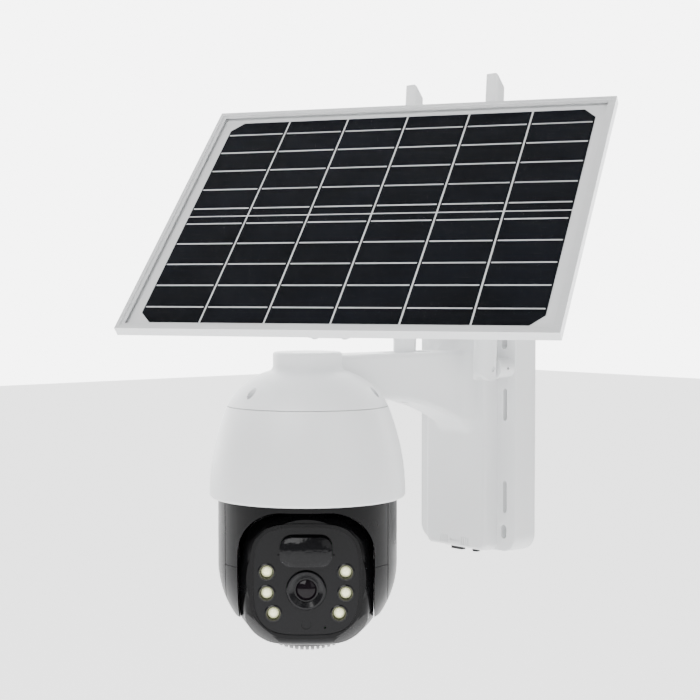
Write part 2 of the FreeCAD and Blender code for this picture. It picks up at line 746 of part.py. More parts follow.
def dome_top(shrink):
    """Cap and shoulder of the dome down to the seam."""
    top = ARM_TOP + CAP_RISE - shrink
    side = CAP_RADIUS - shrink
    foot = ARM_TOP + CAP_RISE - CAP_SIDE
    edge = CAP_EDGE
    bend = edge * (1 - math.sqrt(0.5))
    steps = [(side - edge, top), (side - bend, top - bend, side, top - edge), (side, foot)]
    steps.append((side + 0.9, foot - 2.1, side + 3.5, foot - 3.4))
    waist = (SEAM_RADIUS + CAP_RADIUS) / 2
    crown = (waist + 3.2 - shrink * 0.6, SEAM_Z + 13.2 - shrink * 0.8)
    steps.append((*crown, SEAM_RADIUS - shrink, SEAM_Z))
    steps.append((0, SEAM_Z))
    return moved(revolved((0, top), steps), y=DOME_Y)


def dome_screw_places():
    """Three screw axes round the dome."""
    places = []
    for angle in DOME_SCREW_ANGLES:
        turn = math.radians(angle)
        places.append((DOME_SCREW_CIRCLE * math.cos(turn), DOME_Y + DOME_SCREW_CIRCLE * math.sin(turn)))
    return places


def arm_cover():
    """Front cover, arm and dome cap moulded in one."""
    outside = front_cover_block().fuse(rounded_arm())
    outside = outside.makeFillet(ARM_ROOT_BLEND, arm_root_edges(outside))
    outside = outside.fuse(dome_top(0))
    inside_width = COVER_WIDTH - 2 * COVER_DRAFT - 2 * WALL
    room = upright_plate(inside_width, BOX_HEIGHT - 2 * WALL, COVER_CORNER - WALL, FLANGE_FACE, COVER_INSIDE)
    tunnel = arm_block(WALL, COVER_INSIDE, DOME_Y)
    hollow = room.fuse([tunnel, dome_top(WALL)])
    bosses = []
    for x, z in box_screw_places():
        bosses.append(rod(BOSS_RADIUS, (x, COVER_INSIDE, z), Y_AXIS, FLANGE_FACE - COVER_INSIDE))
    for x, y in dome_screw_places():
        column = rod(DOME_BOSS_RADIUS, (x, y, SEAM_Z), Z_AXIS, ARM_TOP - SEAM_Z)
        bosses.append(column)
    neck_low = ARM_TOP - WALL - NECK_BOSS_HEIGHT
    bosses.append(rod(NECK_BOSS_RADIUS, (0, NECK_Y, neck_low), Z_AXIS, NECK_BOSS_HEIGHT))
    cover = outside.cut(hollow.cut(bosses))
    return cover.cut(arm_cover_holes())


def arm_root_edges(shape):
    """Edges where the arm leaves the front cover."""
    found = []
    for edge in shape.Edges:
        box = edge.BoundBox
        flat = abs(box.YMin - COVER_FACE) < 0.01 and box.YLength < 0.01
        if flat and box.XMax < ARM_WIDTH / 2 + 0.1 and box.XMin > -ARM_WIDTH / 2 - 0.1:
            found.append(edge)
    return found


def arm_cover_holes():
    """Everything cut out of the front cover, arm and cap."""
    tools = []
    for x, z in box_screw_places():
        tools.append(rod(SCREW_RADIUS, (x, COVER_INSIDE + 1.0, z), Y_AXIS, COVER_RISE))
    for x, y in dome_screw_places():
        floor = SEAM_Z + DOME_HEAD_LEVEL
        tools.append(rod(DOME_HEAD_RADIUS + 0.2, (x, y, floor), Z_AXIS, ARM_TOP - floor))
        tools.append(rod(DOME_SCREW_RADIUS + 0.15, (x, y, SEAM_Z), Z_AXIS, DOME_HEAD_LEVEL))
    tools.append(rod(NECK_STUD_RADIUS, (0, NECK_Y, 0), Z_AXIS, ARM_TOP + 1))
    pad = rounded_plate(PAD_WIDTH, PAD_LENGTH, PAD_CORNER, ARM_TOP - PAD_DEPTH, ARM_TOP + 1)
    tools.append(moved(pad, y=NECK_Y))
    low = -BOX_HEIGHT / 2 - 1
    high = bottom_inside()
    tools.append(rod(BUTTON_RADIUS + BUTTON_CLEARANCE, (BUTTON_X, port_y(), low), Z_AXIS, high - low))
    half = SOCKET_WIDTH / 2
    deep = SOCKET_DEPTH / 2
    tools.append(block(SOCKET_X - half, SOCKET_X + half, port_y() - deep, port_y() + deep, low, high))
    tools.extend(cover_marks())
    return tools


def cover_marks():
    """Fine grooves and the little slot low on the front cover."""
    low = -BOX_HEIGHT / 2 + RIB_LOW
    front = COVER_FACE - 1
    back = COVER_FACE + RIB_DEPTH
    marks = []
    for side in (-1, 1):
        for index in range(RIB_COUNT):
            x = side * (RIB_FIRST_X + index * RIB_PITCH)
            marks.append(block(x - RIB_WIDTH / 2, x + RIB_WIDTH / 2, front, back, low, low + RIB_HEIGHT))
    middle = low + RIB_HEIGHT / 2
    half = VENT_WIDTH / 2
    marks.append(block(-half, half, front, back, middle - VENT_HEIGHT / 2, middle + VENT_HEIGHT / 2))
    return marks


def skirt_profile(shrink, top):
    """Half outline of the skirt between the seam and the rim."""
    seam = SEAM_RADIUS - shrink
    middle = (RIM_RADIUS - 2.8 - shrink, SEAM_Z - 25.6)
    rim = RIM_RADIUS - shrink
    return seam, middle, rim, top


def skirt_solid(shrink, bottom, edge):
    """Bell of the skirt, filled in."""
    seam, middle, rim, top = skirt_profile(shrink, SEAM_Z)
    corner = edge * (1 - math.sqrt(0.5))
    steps = [(seam, top), (*middle, rim, bottom + edge)]
    steps.append((rim - corner, bottom + corner, rim - edge, bottom))
    steps.append((0, bottom))
    return moved(revolved((0, top), steps), y=DOME_Y)


def dome_skirt():
    """White bell below the seam, open at the bottom."""
    shell = skirt_solid(0, RIM_Z, SKIRT_WALL * 0.8)
    hollow = skirt_solid(SKIRT_WALL, RIM_Z, 0.1)
    hollow = hollow.cut(block(-99, 99, DOME_Y - 99, DOME_Y + 99, SEAM_Z - SKIRT_LIP, SEAM_Z + 1))
    opening = rod(DOME_SCREW_CIRCLE - DOME_BOSS_RADIUS, (0, DOME_Y, SEAM_Z - SKIRT_LIP), Z_AXIS, SKIRT_LIP)
    skirt = shell.cut([hollow, opening])
    for x, y in dome_screw_places():
        skirt = skirt.cut(rod(DOME_SCREW_RADIUS + 0.15, (x, y, SEAM_Z - 9), Z_AXIS, 9))
    return skirt.cut(seam_ring(SEAM_GROOVE))


def seam_ring(depth):
    """Fine groove that shows at the seam."""
    outer = rod(SEAM_RADIUS + 3, (0, DOME_Y, SEAM_Z - depth), Z_AXIS, depth)
    return outer.cut(rod(SEAM_RADIUS - 1, (0, DOME_Y, SEAM_Z - depth), Z_AXIS, depth))


def dome_deck():
    """Fixed deck that carries the pan bearing, the motor and the main board."""
    top = deck_top()
    low = top - DECK_THICKNESS
    radius = deck_radius()
    deck = rod(radius, (0, DOME_Y, low), Z_AXIS, DECK_THICKNESS)
    parts = [deck]
    for x, y in dome_screw_places():
        height = SEAM_Z - SKIRT_LIP - top
        parts.append(rod(DOME_BOSS_RADIUS - 0.7, (x, y, top), Z_AXIS, height))
    for angle in STANDOFF_ANGLES:
        turn = math.radians(angle)
        place = (STANDOFF_CIRCLE * math.cos(turn), DOME_Y + STANDOFF_CIRCLE * math.sin(turn), top)
        parts.append(rod(STANDOFF_RADIUS, place, Z_AXIS, MAIN_BOARD_ABOVE_DECK))
    deck = merged(parts)
    tools = [rod(SPINDLE_RADIUS + RUNNING_CLEARANCE, (0, DOME_Y, low), Z_AXIS, DECK_THICKNESS)]
    shaft_x, shaft_y = pan_motor_place()
    tools.append(rod(MOTOR_SHAFT_RADIUS + 1.5, (shaft_x, shaft_y, low), Z_AXIS, DECK_THICKNESS))
    for x, y in dome_screw_places():
        tools.append(rod(DOME_SCREW_RADIUS, (x, y, low), Z_AXIS, SEAM_Z - low))
    return deck.cut(tools)


def deck_top():
    """Level of the top of the deck."""
    return SEAM_Z - DECK_LEVEL + DECK_THICKNESS


def deck_radius():
    """Deck as wide as the skirt's inside at its level, less a gap."""
    return SEAM_RADIUS - SKIRT_WALL + DECK_GAP


def dome_screws():
    """Three screws through the dome cap and the skirt into the deck."""
    screws = []
    for x, y in dome_screw_places():
        floor = SEAM_Z + DOME_HEAD_LEVEL
        head = rod(DOME_HEAD_RADIUS, (x, y, floor), Z_AXIS, 1.4)
        low = deck_top() - DECK_THICKNESS + 1
        shank = rod(DOME_SCREW_RADIUS, (x, y, low), Z_AXIS, floor - low)
        cross = block(x - 1.6, x + 1.6, y - 0.35, y + 0.35, floor + 0.7, floor + 1.4)
        screws.append(head.fuse(shank).cut(cross).cut(turned(cross, 90, Z_AXIS, (x, y, 0))))
    return Part.makeCompound(screws)


def main_board():
    """Round main board on the deck's posts."""
    low = deck_top() + MAIN_BOARD_ABOVE_DECK
    board = rod(MAIN_BOARD_RADIUS, (0, DOME_Y, low), Z_AXIS, BOARD_THICKNESS)
    chip = block(-7, 7, DOME_Y - 7, DOME_Y + 7, low + BOARD_THICKNESS, low + BOARD_THICKNESS + 1.2)
    return merged([board, chip])


# ================================================================ pan drive
def pan_motor_place():
    """Axis of the pan motor and its pinion."""
    distance = (PAN_GEAR_TEETH + PAN_PINION_TEETH) * PAN_MODULE / 2
    turn = math.radians(PAN_MOTOR_ANGLE)
    return distance * math.cos(turn), DOME_Y + distance * math.sin(turn)


def gear_level():
    """Underside of the pan gear."""
    return deck_top() - DECK_THICKNESS - GEAR_BELOW_DECK - GEAR_THICKNESS


def pan_motor():
    """Round stepper motor standing on the deck."""
    x, y = pan_motor_place()
    low = deck_top()
    can = rod(PAN_MOTOR_RADIUS, (x, y, low), Z_AXIS, PAN_MOTOR_HEIGHT)
    return can.cut(rod(MOTOR_SHAFT_RADIUS + RUNNING_CLEARANCE, (x, y, low), Z_AXIS, 6))


def pan_pinion():
    """Pinion with its motor shaft."""
    x, y = pan_motor_place()
    wheel = gear_shape(PAN_PINION_TEETH, PAN_MODULE, GEAR_THICKNESS)
    wheel = turned(wheel, PAN_MOTOR_ANGLE + 180 + 180 / PAN_PINION_TEETH)
    low = gear_level()
    wheel = moved(wheel, x, y, low)
    shaft = rod(MOTOR_SHAFT_RADIUS, (x, y, low), Z_AXIS, deck_top() + 5.5 - low)
    return merged([wheel, shaft])



def clip_level():
    """Underside of the retaining clip."""
    return deck_top() + CLIP_GAP


def pan_gear_spindle():
    """Hollow spindle that hangs the yoke from the deck, with its gear moulded on."""
    top = clip_level() + CLIP_THICKNESS + 1.6
    shaft = rod(SPINDLE_RADIUS, (0, 0, YOKE_TOP), Z_AXIS, top - YOKE_TOP)
    flange = rod(SPINDLE_FLANGE_RADIUS, (0, 0, YOKE_TOP), Z_AXIS, SPINDLE_FLANGE)
    wheel = gear_shape(PAN_GEAR_TEETH, PAN_MODULE, GEAR_THICKNESS)
    wheel = moved(turned(wheel, PAN_MOTOR_ANGLE - PAN_REST), z=gear_level())
    spindle = merged([shaft, flange, wheel])
    groove = rod(SPINDLE_RADIUS + 1, (0, 0, clip_level()), Z_AXIS, CLIP_THICKNESS)
    groove = groove.cut(rod(SPINDLE_RADIUS - CLIP_GROOVE, (0, 0, clip_level()), Z_AXIS, CLIP_THICKNESS))
    spindle = spindle.cut([groove, rod(SPINDLE_BORE, (0, 0, YOKE_TOP), Z_AXIS, top - YOKE_TOP)])
    for x, y in spindle_screw_places():
        spindle = spindle.cut(rod(SCREW_CLEAR_RADIUS, (x, y, YOKE_TOP), Z_AXIS, SPINDLE_FLANGE))
    return on_pan(spindle)


def spindle_screw_places():
    """Three screws through the spindle's flange."""
    circle = (SPINDLE_RADIUS + SPINDLE_FLANGE_RADIUS) / 2
    angles = [math.radians(a) for a in (30, 150, 270)]
    return [(circle * math.cos(a), circle * math.sin(a)) for a in angles]


def spindle_screws():
    """Screws that hold the spindle on the yoke."""
    screws = []
    for x, y in spindle_screw_places():
        level = YOKE_TOP + SPINDLE_FLANGE
        head = rod(SCREW_HEAD_RADIUS, (x, y, level), Z_AXIS, SCREW_HEAD_HEIGHT)
        screws.append(head.fuse(rod(SCREW_RADIUS, (x, y, YOKE_TOP - 2.5), Z_AXIS, level - YOKE_TOP + 2.5)))
    return on_pan(Part.makeCompound(screws))


def pan_clip():
    """Retaining clip in the spindle's groove."""
    outer = rod(SPINDLE_RADIUS - CLIP_GROOVE + CLIP_WIDTH, (0, 0, clip_level()), Z_AXIS, CLIP_THICKNESS)
    clip = outer.cut(rod(SPINDLE_RADIUS - CLIP_GROOVE, (0, 0, clip_level()), Z_AXIS, CLIP_THICKNESS))
    mouth = block(-2, 2, 0, 99, clip_level() - 1, clip_level() + 9)
    return on_pan(clip.cut(mouth))


# ================================================================ yoke
def yoke_outside(shrink):
    """Drum of the yoke, closing in at the ends of the ears."""
    low = BALL_Z - EAR_DROP + shrink
    edge = YOKE_RADIUS - shrink
    steps = [(edge, YOKE_TOP), (edge, BALL_Z + 8.0)]
    steps.append((edge - 3.0, BALL_Z - 12.0, edge - 9.7, low + 1.5))
    steps.append((edge - 12.2, low))
    steps.append((0, low))
    return revolved((0, YOKE_TOP), steps)


def head_bay():
    """Space for the ball and the opening that shows it."""
    arch_top = RIM_Z - ARCH_DROP
    height = 2 * (arch_top - BALL_Z + EAR_DROP + 20)
    arch = upright_plate(2 * EAR_INSIDE, height, ARCH_CORNER, 99, -99, z=arch_top - height / 2)
    ball = Part.makeSphere(BALL_RADIUS + HOOD_REACH + BAY_CLEARANCE, Vector(0, 0, BALL_Z))
    slab = block(-EAR_INSIDE, EAR_INSIDE, -99, 99, -299, 99)
    return arch.fuse(ball.common(slab))


def yoke_body():
    """Black yoke with two ears."""
    yoke = yoke_outside(0).cut(head_bay())
    for side in (-1, 1):
        outer = block(EAR_LINE - EAR_SEAM, 99, -99, 99, -299, RIM_Z + 1)
        pocket = rod(EAR_POCKET_RADIUS, (EAR_INSIDE + EAR_WALL, 0, BALL_Z), X_AXIS, 99)
        bore = rod(AXLE_RADIUS, (0, 0, BALL_Z), X_AXIS, 99)
        level = BALL_Z + EAR_JOINT_RISE
        joint_line = block(EAR_INSIDE - 1, EAR_LINE, -99, 99, level, level + EAR_SEAM)
        joint_line = joint_line.cut(rod(YOKE_RADIUS - EAR_JOINT_DEPTH, (0, 0, level - 1), Z_AXIS, 9))
        for tool in (outer, pocket, bore, joint_line):
            yoke = yoke.cut(tool if side > 0 else mirrored(tool))
    for x, y in spindle_screw_places():
        yoke = yoke.cut(rod(SCREW_RADIUS, (x, y, YOKE_TOP - 2.5), Z_AXIS, 2.5))
    wire_way = rod(SPINDLE_BORE - 2, (0, 0, YOKE_TOP - 9), Z_AXIS, 9)
    return on_pan(yoke.cut(wire_way))


def ear_cover(side):
    """Cover of one ear."""
    zone = block(EAR_LINE, 99, -99, 99, -299, RIM_Z + 1 - EAR_SEAM)
    cover = yoke_outside(0).common(zone)
    hollow = yoke_outside(EAR_COVER_WALL).common(block(0, 99, -99, 99, -299, RIM_Z - 3))
    cover = cover.cut(hollow)
    return on_pan(cover if side > 0 else mirrored(cover))


def pair(make_side):
    """Right and left copies of a piece in one node."""
    return Part.makeCompound([make_side(1), make_side(-1)])


def tilt_axle(side):
    """Hollow axle fixed in an ear, on which the ball turns."""
    flange_at = EAR_INSIDE + EAR_WALL
    inner_end = tilt_gear_level() if side > 0 else BALL_FLAT - HEAD_WALL - 1.5
    shaft = rod(AXLE_RADIUS, (inner_end, 0, BALL_Z), X_AXIS, flange_at - inner_end)
    flange = rod(AXLE_FLANGE_RADIUS, (flange_at, 0, BALL_Z), X_AXIS, AXLE_FLANGE)
    axle = merged([shaft, flange])
    axle = axle.cut(rod(AXLE_BORE, (0, 0, BALL_Z), X_AXIS, 99))
    return on_pan(axle if side > 0 else mirrored(axle))



# ================================================================ tilt drive
def tilt_gear_level():
    """Inner face of the fixed tilt gear, measured from the middle of the ball."""
    return BALL_FLAT - HEAD_WALL - TILT_GEAR_INSET - TILT_GEAR_THICKNESS


def tilt_gear():
    """Gear fixed on the right-hand axle; the motor in the ball walks round it."""
    wheel = gear_shape(TILT_GEAR_TEETH, TILT_MODULE, TILT_GEAR_THICKNESS)
    wheel = wheel.cut(rod(AXLE_RADIUS, (0, 0, 0), Z_AXIS, TILT_GEAR_THICKNESS))
    wheel = turned(wheel, 90, Z_AXIS)
    return on_head(moved(facing_x(wheel), x=tilt_gear_level()))


def facing_x(shape):
    """Turn a piece drawn about Z so that its Z points along X and its Y stays."""
    return turned(shape, 90, Y_AXIS)


def tilt_motor_y():
    """Motor axis behind the tilt axis."""
    return (TILT_GEAR_TEETH + TILT_PINION_TEETH) * TILT_MODULE / 2


def tilt_pinion():
    """Pinion and shaft of the tilt motor."""
    wheel = gear_shape(TILT_PINION_TEETH, TILT_MODULE, TILT_GEAR_THICKNESS)
    wheel = turned(wheel, 90 + 180 + 180 / TILT_PINION_TEETH)
    low = tilt_gear_level()
    wheel = moved(facing_x(wheel), low, tilt_motor_y())
    shaft = rod(MOTOR_SHAFT_RADIUS, (low - 6, tilt_motor_y(), 0), X_AXIS, 6 + TILT_GEAR_THICKNESS)
    return on_head(merged([wheel, shaft]))


def tilt_motor():
    """Small stepper motor across the ball, behind the lens."""
    end = tilt_gear_level() - 1.0
    y = tilt_motor_y()
    can = rod(TILT_MOTOR_RADIUS, (end - TILT_MOTOR_LENGTH, y, 0), X_AXIS, TILT_MOTOR_LENGTH)
    shaft_hole = rod(MOTOR_SHAFT_RADIUS + RUNNING_CLEARANCE, (end - 5.5, y, 0), X_AXIS, 5.5)
    back = y + TILT_MOTOR_RADIUS
    foot = block(end - TILT_MOTOR_LENGTH, end - 2, back - 1, back + 1.5, -6, 6)
    return on_head(merged([can, foot]).cut(shaft_hole))


# ================================================================ ball
def ball_solid(shrink):
    """Ball with flat sides and a flat seat for the grille."""
    ball = Part.makeSphere(BALL_RADIUS - shrink)
    flat = BALL_FLAT - shrink
    seat = -BALL_RADIUS + GRILLE_LEVEL + shrink
    return ball.common(block(-flat, flat, -99, 99, seat, 99))


def face_hood():
    """Rounded housing round the face, out to the flat sides of the ball."""
    sections = [face_outline(grow, depth) for grow, depth in HOOD_SECTIONS]
    sections.append(face_outline(BEZEL_WIDTH, FACE_DEPTH))
    hood = upright(Part.makeLoft(sections, True, False))
    return hood.common(Part.makeSphere(BALL_RADIUS + HOOD_REACH))


def ball_shell():
    """Hollow ball with the face housing and the holes for the axles."""
    front = -FACE_DEPTH
    outside = ball_solid(0).common(block(-99, 99, front, 99, -99, 99)).fuse(face_hood())
    inside = ball_solid(HEAD_WALL).common(block(-99, 99, front + BEZEL_DEPTH, 99, -99, 99))
    shell = outside.cut(inside)
    for side in (-1, 1):
        shell = shell.cut(rod(AXLE_RADIUS + RUNNING_CLEARANCE, (side * 60, 0, 0), X_AXIS * -side, 40))
    return shell


def head_front_shell():
    """Front of the ball, with the seat of the face."""
    shell = ball_shell().common(block(-99, 99, -99, HEAD_SPLIT, -99, 99))
    seat = face_plate(BEZEL_WIDTH, FACE_DEPTH + 5, FACE_DEPTH - BEZEL_DEPTH)
    return on_head(shell.cut(seat))


def card_cover_zone(grow):
    """Recess for the card cover in the back of the ball."""
    width = CARD_COVER_WIDTH + 2 * grow
    height = CARD_COVER_HEIGHT + 2 * grow
    return upright_plate(width, height, 1.5, 99, 30, z=CARD_COVER_Z)


def head_rear_shell():
    """Back of the ball."""
    shell = ball_shell().common(block(-99, 99, HEAD_SPLIT, 99, -99, 99))
    outer_skin = ball_solid(0).cut(ball_solid(CARD_COVER_THICKNESS + 0.2))
    shell = shell.cut(card_cover_zone(0.3).common(outer_skin))
    slot = block(-6, 6, 30, 60, CARD_COVER_Z - 1.2, CARD_COVER_Z + 1.2)
    return on_head(shell.cut(slot))


def card_cover():
    """Rubber flap over the memory card slot."""
    skin = ball_solid(0).cut(ball_solid(CARD_COVER_THICKNESS))
    return on_head(card_cover_zone(0).common(skin))


def face_bezel():
    """Ring round the face."""
    front = FACE_DEPTH + BEZEL_PROUD
    back = FACE_DEPTH - BEZEL_DEPTH
    ring = face_plate(BEZEL_WIDTH, front, back).common(Part.makeSphere(BALL_RADIUS + HOOD_REACH))
    ledge = face_plate(-1.2, front, back)
    window_seat = face_plate(0, front, FACE_DEPTH - WINDOW_THICKNESS)
    return on_head(ring.cut([ledge, window_seat]))


def light_places():
    """Six lamps, three each side of the lens."""
    return [(side * x, z) for side in (-1, 1) for x, z in LIGHT_PLACES]


def face_window():
    """Glossy black plate with openings for lens, lamps and sensors."""
    plate = face_plate(0, FACE_DEPTH, FACE_DEPTH - WINDOW_THICKNESS)
    tools = [rod(LENS_RADIUS + LENS_HOLE_GAP, (0, 0, LENS_Z), -Y_AXIS, 99)]
    for x, z in light_places():
        tools.append(rod(LIGHT_RADIUS + LIGHT_HOLE_GAP, (x, 0, z), -Y_AXIS, 99))
    tools.append(rod(SENSOR_RADIUS, (0, 0, SENSOR_Z), -Y_AXIS, 99))
    tools.append(rod(MIC_HOLE_RADIUS, (MIC_PLACE[0], 0, MIC_PLACE[1]), -Y_AXIS, 99))
    tools.append(pir_prism(PIR_HOLE_GAP, 0, 99))
    lip = pir_prism(PIR_LIP, FACE_DEPTH, FACE_DEPTH + PIR_LIP_PROUD)
    lip = lip.common(block(-99, 99, -99, 0, -99, PIR_Z - 2.5))
    return on_head(merged([plate, lip]).cut(tools))


def pir_prism(grow, low, high):
    """Rounded prism about the motion sensor, between two distances before the ball's centre."""
    width = PIR_WIDTH + 2 * grow
    height = PIR_HEIGHT + 2 * grow
    prism = rounded_plate(width, height, PIR_CORNER + grow, 0, high - low)
    return moved(upright(prism, -low), z=PIR_Z)


def pir_bulge(shrink):
    """Ellipsoid that domes the motion sensor's lens."""
    ball = Part.makeSphere(1)
    scale = FreeCAD.Matrix()
    scale.scale(PIR_BULGE_WIDTH / 2 - shrink, PIR_BULGE - shrink, PIR_BULGE_HEIGHT / 2 - shrink)
    return moved(ball.transformGeometry(scale), y=-FACE_DEPTH, z=PIR_Z)


def pir_lens():
    """Domed lens of the motion sensor with its rim behind the window."""
    back = FACE_DEPTH - WINDOW_THICKNESS
    front = FACE_DEPTH + PIR_BULGE + 1
    ahead = block(-99, 99, -99, -FACE_DEPTH, -99, 99)
    dome = pir_prism(0, FACE_DEPTH, front).common(pir_bulge(0))
    room = pir_prism(-PIR_WALL, back, front).common(pir_bulge(PIR_WALL).common(ahead))
    tube = pir_prism(0, back, FACE_DEPTH).cut(pir_prism(-PIR_WALL, back, FACE_DEPTH))
    return on_head(merged([dome.cut(room), tube]))



def lens_barrel():
    """Black lens barrel with a funnel down to the glass."""
    front = FACE_DEPTH + LENS_PROUD
    back = front - LENS_LENGTH
    steps = [(LENS_RADIUS - 0.6, front), (LENS_RADIUS, front - 0.6), (LENS_RADIUS, back), (0, back)]
    steps.append((0, front - 5.0))
    steps.append((LENS_GLASS_RADIUS, front - 5.0))
    steps.append((LENS_GLASS_RADIUS, front - 3.4))
    steps.append((LENS_THROAT, front - 3.4))
    steps.append((LENS_THROAT, front - 2.2))
    barrel = revolved((LENS_RADIUS - 1.6, front), steps)
    return on_head(moved(upright(barrel), z=LENS_Z))


def domed_disc(radius, base, rim, rise):
    """Round disc about Z with a straight rim and a domed top."""
    sphere_radius = (radius * radius + rise * rise) / (2 * rise)
    centre = base + rim + rise - sphere_radius
    disc = rod(radius, (0, 0, base), Z_AXIS, rim + rise)
    return disc.common(Part.makeSphere(sphere_radius, Vector(0, 0, centre), X_AXIS))


def lens_glass():
    """Front element of the lens."""
    base = FACE_DEPTH + LENS_PROUD - 5.0
    dome = domed_disc(LENS_GLASS_RADIUS, base, 1.0, 1.9)
    return on_head(moved(upright(dome), z=LENS_Z))


def light_rings():
    """Black rings round the lamps."""
    rings = []
    back = FACE_DEPTH - WINDOW_THICKNESS - LIGHT_BOARD_GAP
    front = FACE_DEPTH + 0.5
    profile = [(LIGHT_RADIUS, front - 0.3), (LIGHT_RADIUS, back)]
    profile += [(LIGHT_THROAT, back), (LIGHT_THROAT, front - 2.0)]
    ring = revolved((LIGHT_RADIUS - 0.5, front), profile + [(LIGHT_RADIUS - 0.9, front)])
    for x, z in light_places():
        rings.append(moved(upright(ring), x=x, z=z))
    return on_head(Part.makeCompound(rings))


def light_domes():
    """Clear domes of the lamps."""
    back = FACE_DEPTH - WINDOW_THICKNESS - LIGHT_BOARD_GAP + 0.6
    dome = domed_disc(LIGHT_DOME_RADIUS, back, 1.0, 1.7)
    domes = [moved(upright(dome), x=x, z=z) for x, z in light_places()]
    return on_head(Part.makeCompound(domes))



def light_board():
    """Board behind the window with its lamps, motion sensor can and microphone."""
    front = FACE_DEPTH - WINDOW_THICKNESS - LIGHT_BOARD_GAP
    board = face_plate(-3.2, front, front - 1.2)
    board = board.cut(rod(LENS_RADIUS + 0.5, (0, 0, LENS_Z), -Y_AXIS, 99))
    parts = [board, rod(4.6, (0, -front, PIR_Z), -Y_AXIS, 4.2)]
    parts.append(rod(1.6, (MIC_PLACE[0], -front, MIC_PLACE[1]), -Y_AXIS, LIGHT_BOARD_GAP - 0.1))
    for x, z in light_places():
        parts.append(block(x - 1.7, x + 1.7, -front - 0.6, -front, z - 1.7, z + 1.7))
    return on_head(merged(parts))



def light_sensor():
    """Dark window of the light sensor."""
    back = FACE_DEPTH - WINDOW_THICKNESS - LIGHT_BOARD_GAP
    return on_head(rod(SENSOR_RADIUS - 0.1, (0, -back, SENSOR_Z), -Y_AXIS, FACE_DEPTH - back - 0.4))



def sensor_board():
    """Image sensor board behind the lens barrel."""
    front = FACE_DEPTH + LENS_PROUD - LENS_LENGTH
    board = block(-14, 14, -front, -front + 1.4, LENS_Z - 14, LENS_Z + 14)
    return on_head(board)


def grille_seat():
    """Level of the flat that carries the grille."""
    return -BALL_RADIUS + GRILLE_LEVEL


def speaker_grille():
    """Ribbed cap under the ball, its grooves running front to back."""
    below = block(-99, 99, -99, 99, -99, grille_seat())
    cap = Part.makeSphere(BALL_RADIUS - GRILLE_INSET).common(below)
    tools = []
    for index in range(GRILLE_SLOTS):
        x = (index - (GRILLE_SLOTS - 1) / 2) * GRILLE_PITCH
        half = GRILLE_SLOT / 2
        tools.append(block(x - half, x + half, -99, 99, -99, grille_seat() - GRILLE_FLOOR))
    return on_head(cap.cut(tools))


def speaker():
    """Loudspeaker on the floor of the ball."""
    floor = grille_seat() + HEAD_WALL
    magnet = rod(SPEAKER_RADIUS * 0.6, (0, 2, floor + SPEAKER_HEIGHT * 0.5), Z_AXIS, SPEAKER_HEIGHT * 0.5)
    return on_head(merged([rod(SPEAKER_RADIUS, (0, 2, floor), Z_AXIS, SPEAKER_HEIGHT * 0.5), magnet]))


# ================================================================ antennas
def antenna_place(side):
    """Axis of an antenna stub on the flange."""
    return side * (FLANGE_MIDDLE + ANTENNA_SHIFT), BOX_HEIGHT / 2 - ANTENNA_FROM_TOP


def handed(shape, side):
    """Place an antenna piece, drawn about its fold pin, on the right or the left."""
    x, z = antenna_place(1)
    placed = moved(shape, x, FLANGE_FACE - ANTENNA_PIVOT_REACH, z)
    return placed if side > 0 else mirrored(placed)


def disc_front():
    """Front face of the swivel disc, behind the fold pin."""
    return ANTENNA_HEEL_RADIUS + 0.4


def antenna_stub(side):
    """Fixed stub with its thread through the flange."""
    back = ANTENNA_PIVOT_REACH
    front = disc_front() + SWIVEL_DISC + SWIVEL_GAP
    stub = rod(STUB_RADIUS, (0, front, 0), Y_AXIS, back - front)
    thread = rod(STUB_THREAD_RADIUS, (0, back, 0), Y_AXIS, 8)
    stub = merged([stub, thread])
    socket = rod(SWIVEL_SPIGOT_RADIUS + RUNNING_CLEARANCE, (0, front, 0), Y_AXIS, 7)
    screw_hole = rod(SET_SCREW_RADIUS, (0, back - SET_SCREW_REACH, 0), X_AXIS, 99)
    return handed(stub.cut([socket, screw_hole]), side)



def hexagon(radius):
    """Closed ring of six corners about Z."""
    angles = [math.radians(60 * step) for step in range(7)]
    return [Vector(radius * math.cos(a), radius * math.sin(a), 0) for a in angles]


def antenna_knuckle(side):
    """Swivel disc with the tongue and the fold pins moulded on it."""
    front = disc_front()
    disc = rod(SWIVEL_DISC_RADIUS, (0, front, 0), Y_AXIS, SWIVEL_DISC)
    spigot = rod(SWIVEL_SPIGOT_RADIUS, (0, front, 0), Y_AXIS, SWIVEL_DISC + SWIVEL_GAP + 6)
    eye = rod(TONGUE_HALF * 2, (-TONGUE_HALF, 0, 0), X_AXIS, 2 * TONGUE_HALF)
    neck = block(-TONGUE_HALF, TONGUE_HALF, 0, front, -TONGUE_HALF * 2, TONGUE_HALF * 2)
    half = ANTENNA_RADIUS - PIN_INSET
    pins = rod(FOLD_PIN_RADIUS, (-half, 0, 0), X_AXIS, 2 * half)
    return handed(merged([disc, spigot, eye, neck, pins]), side)



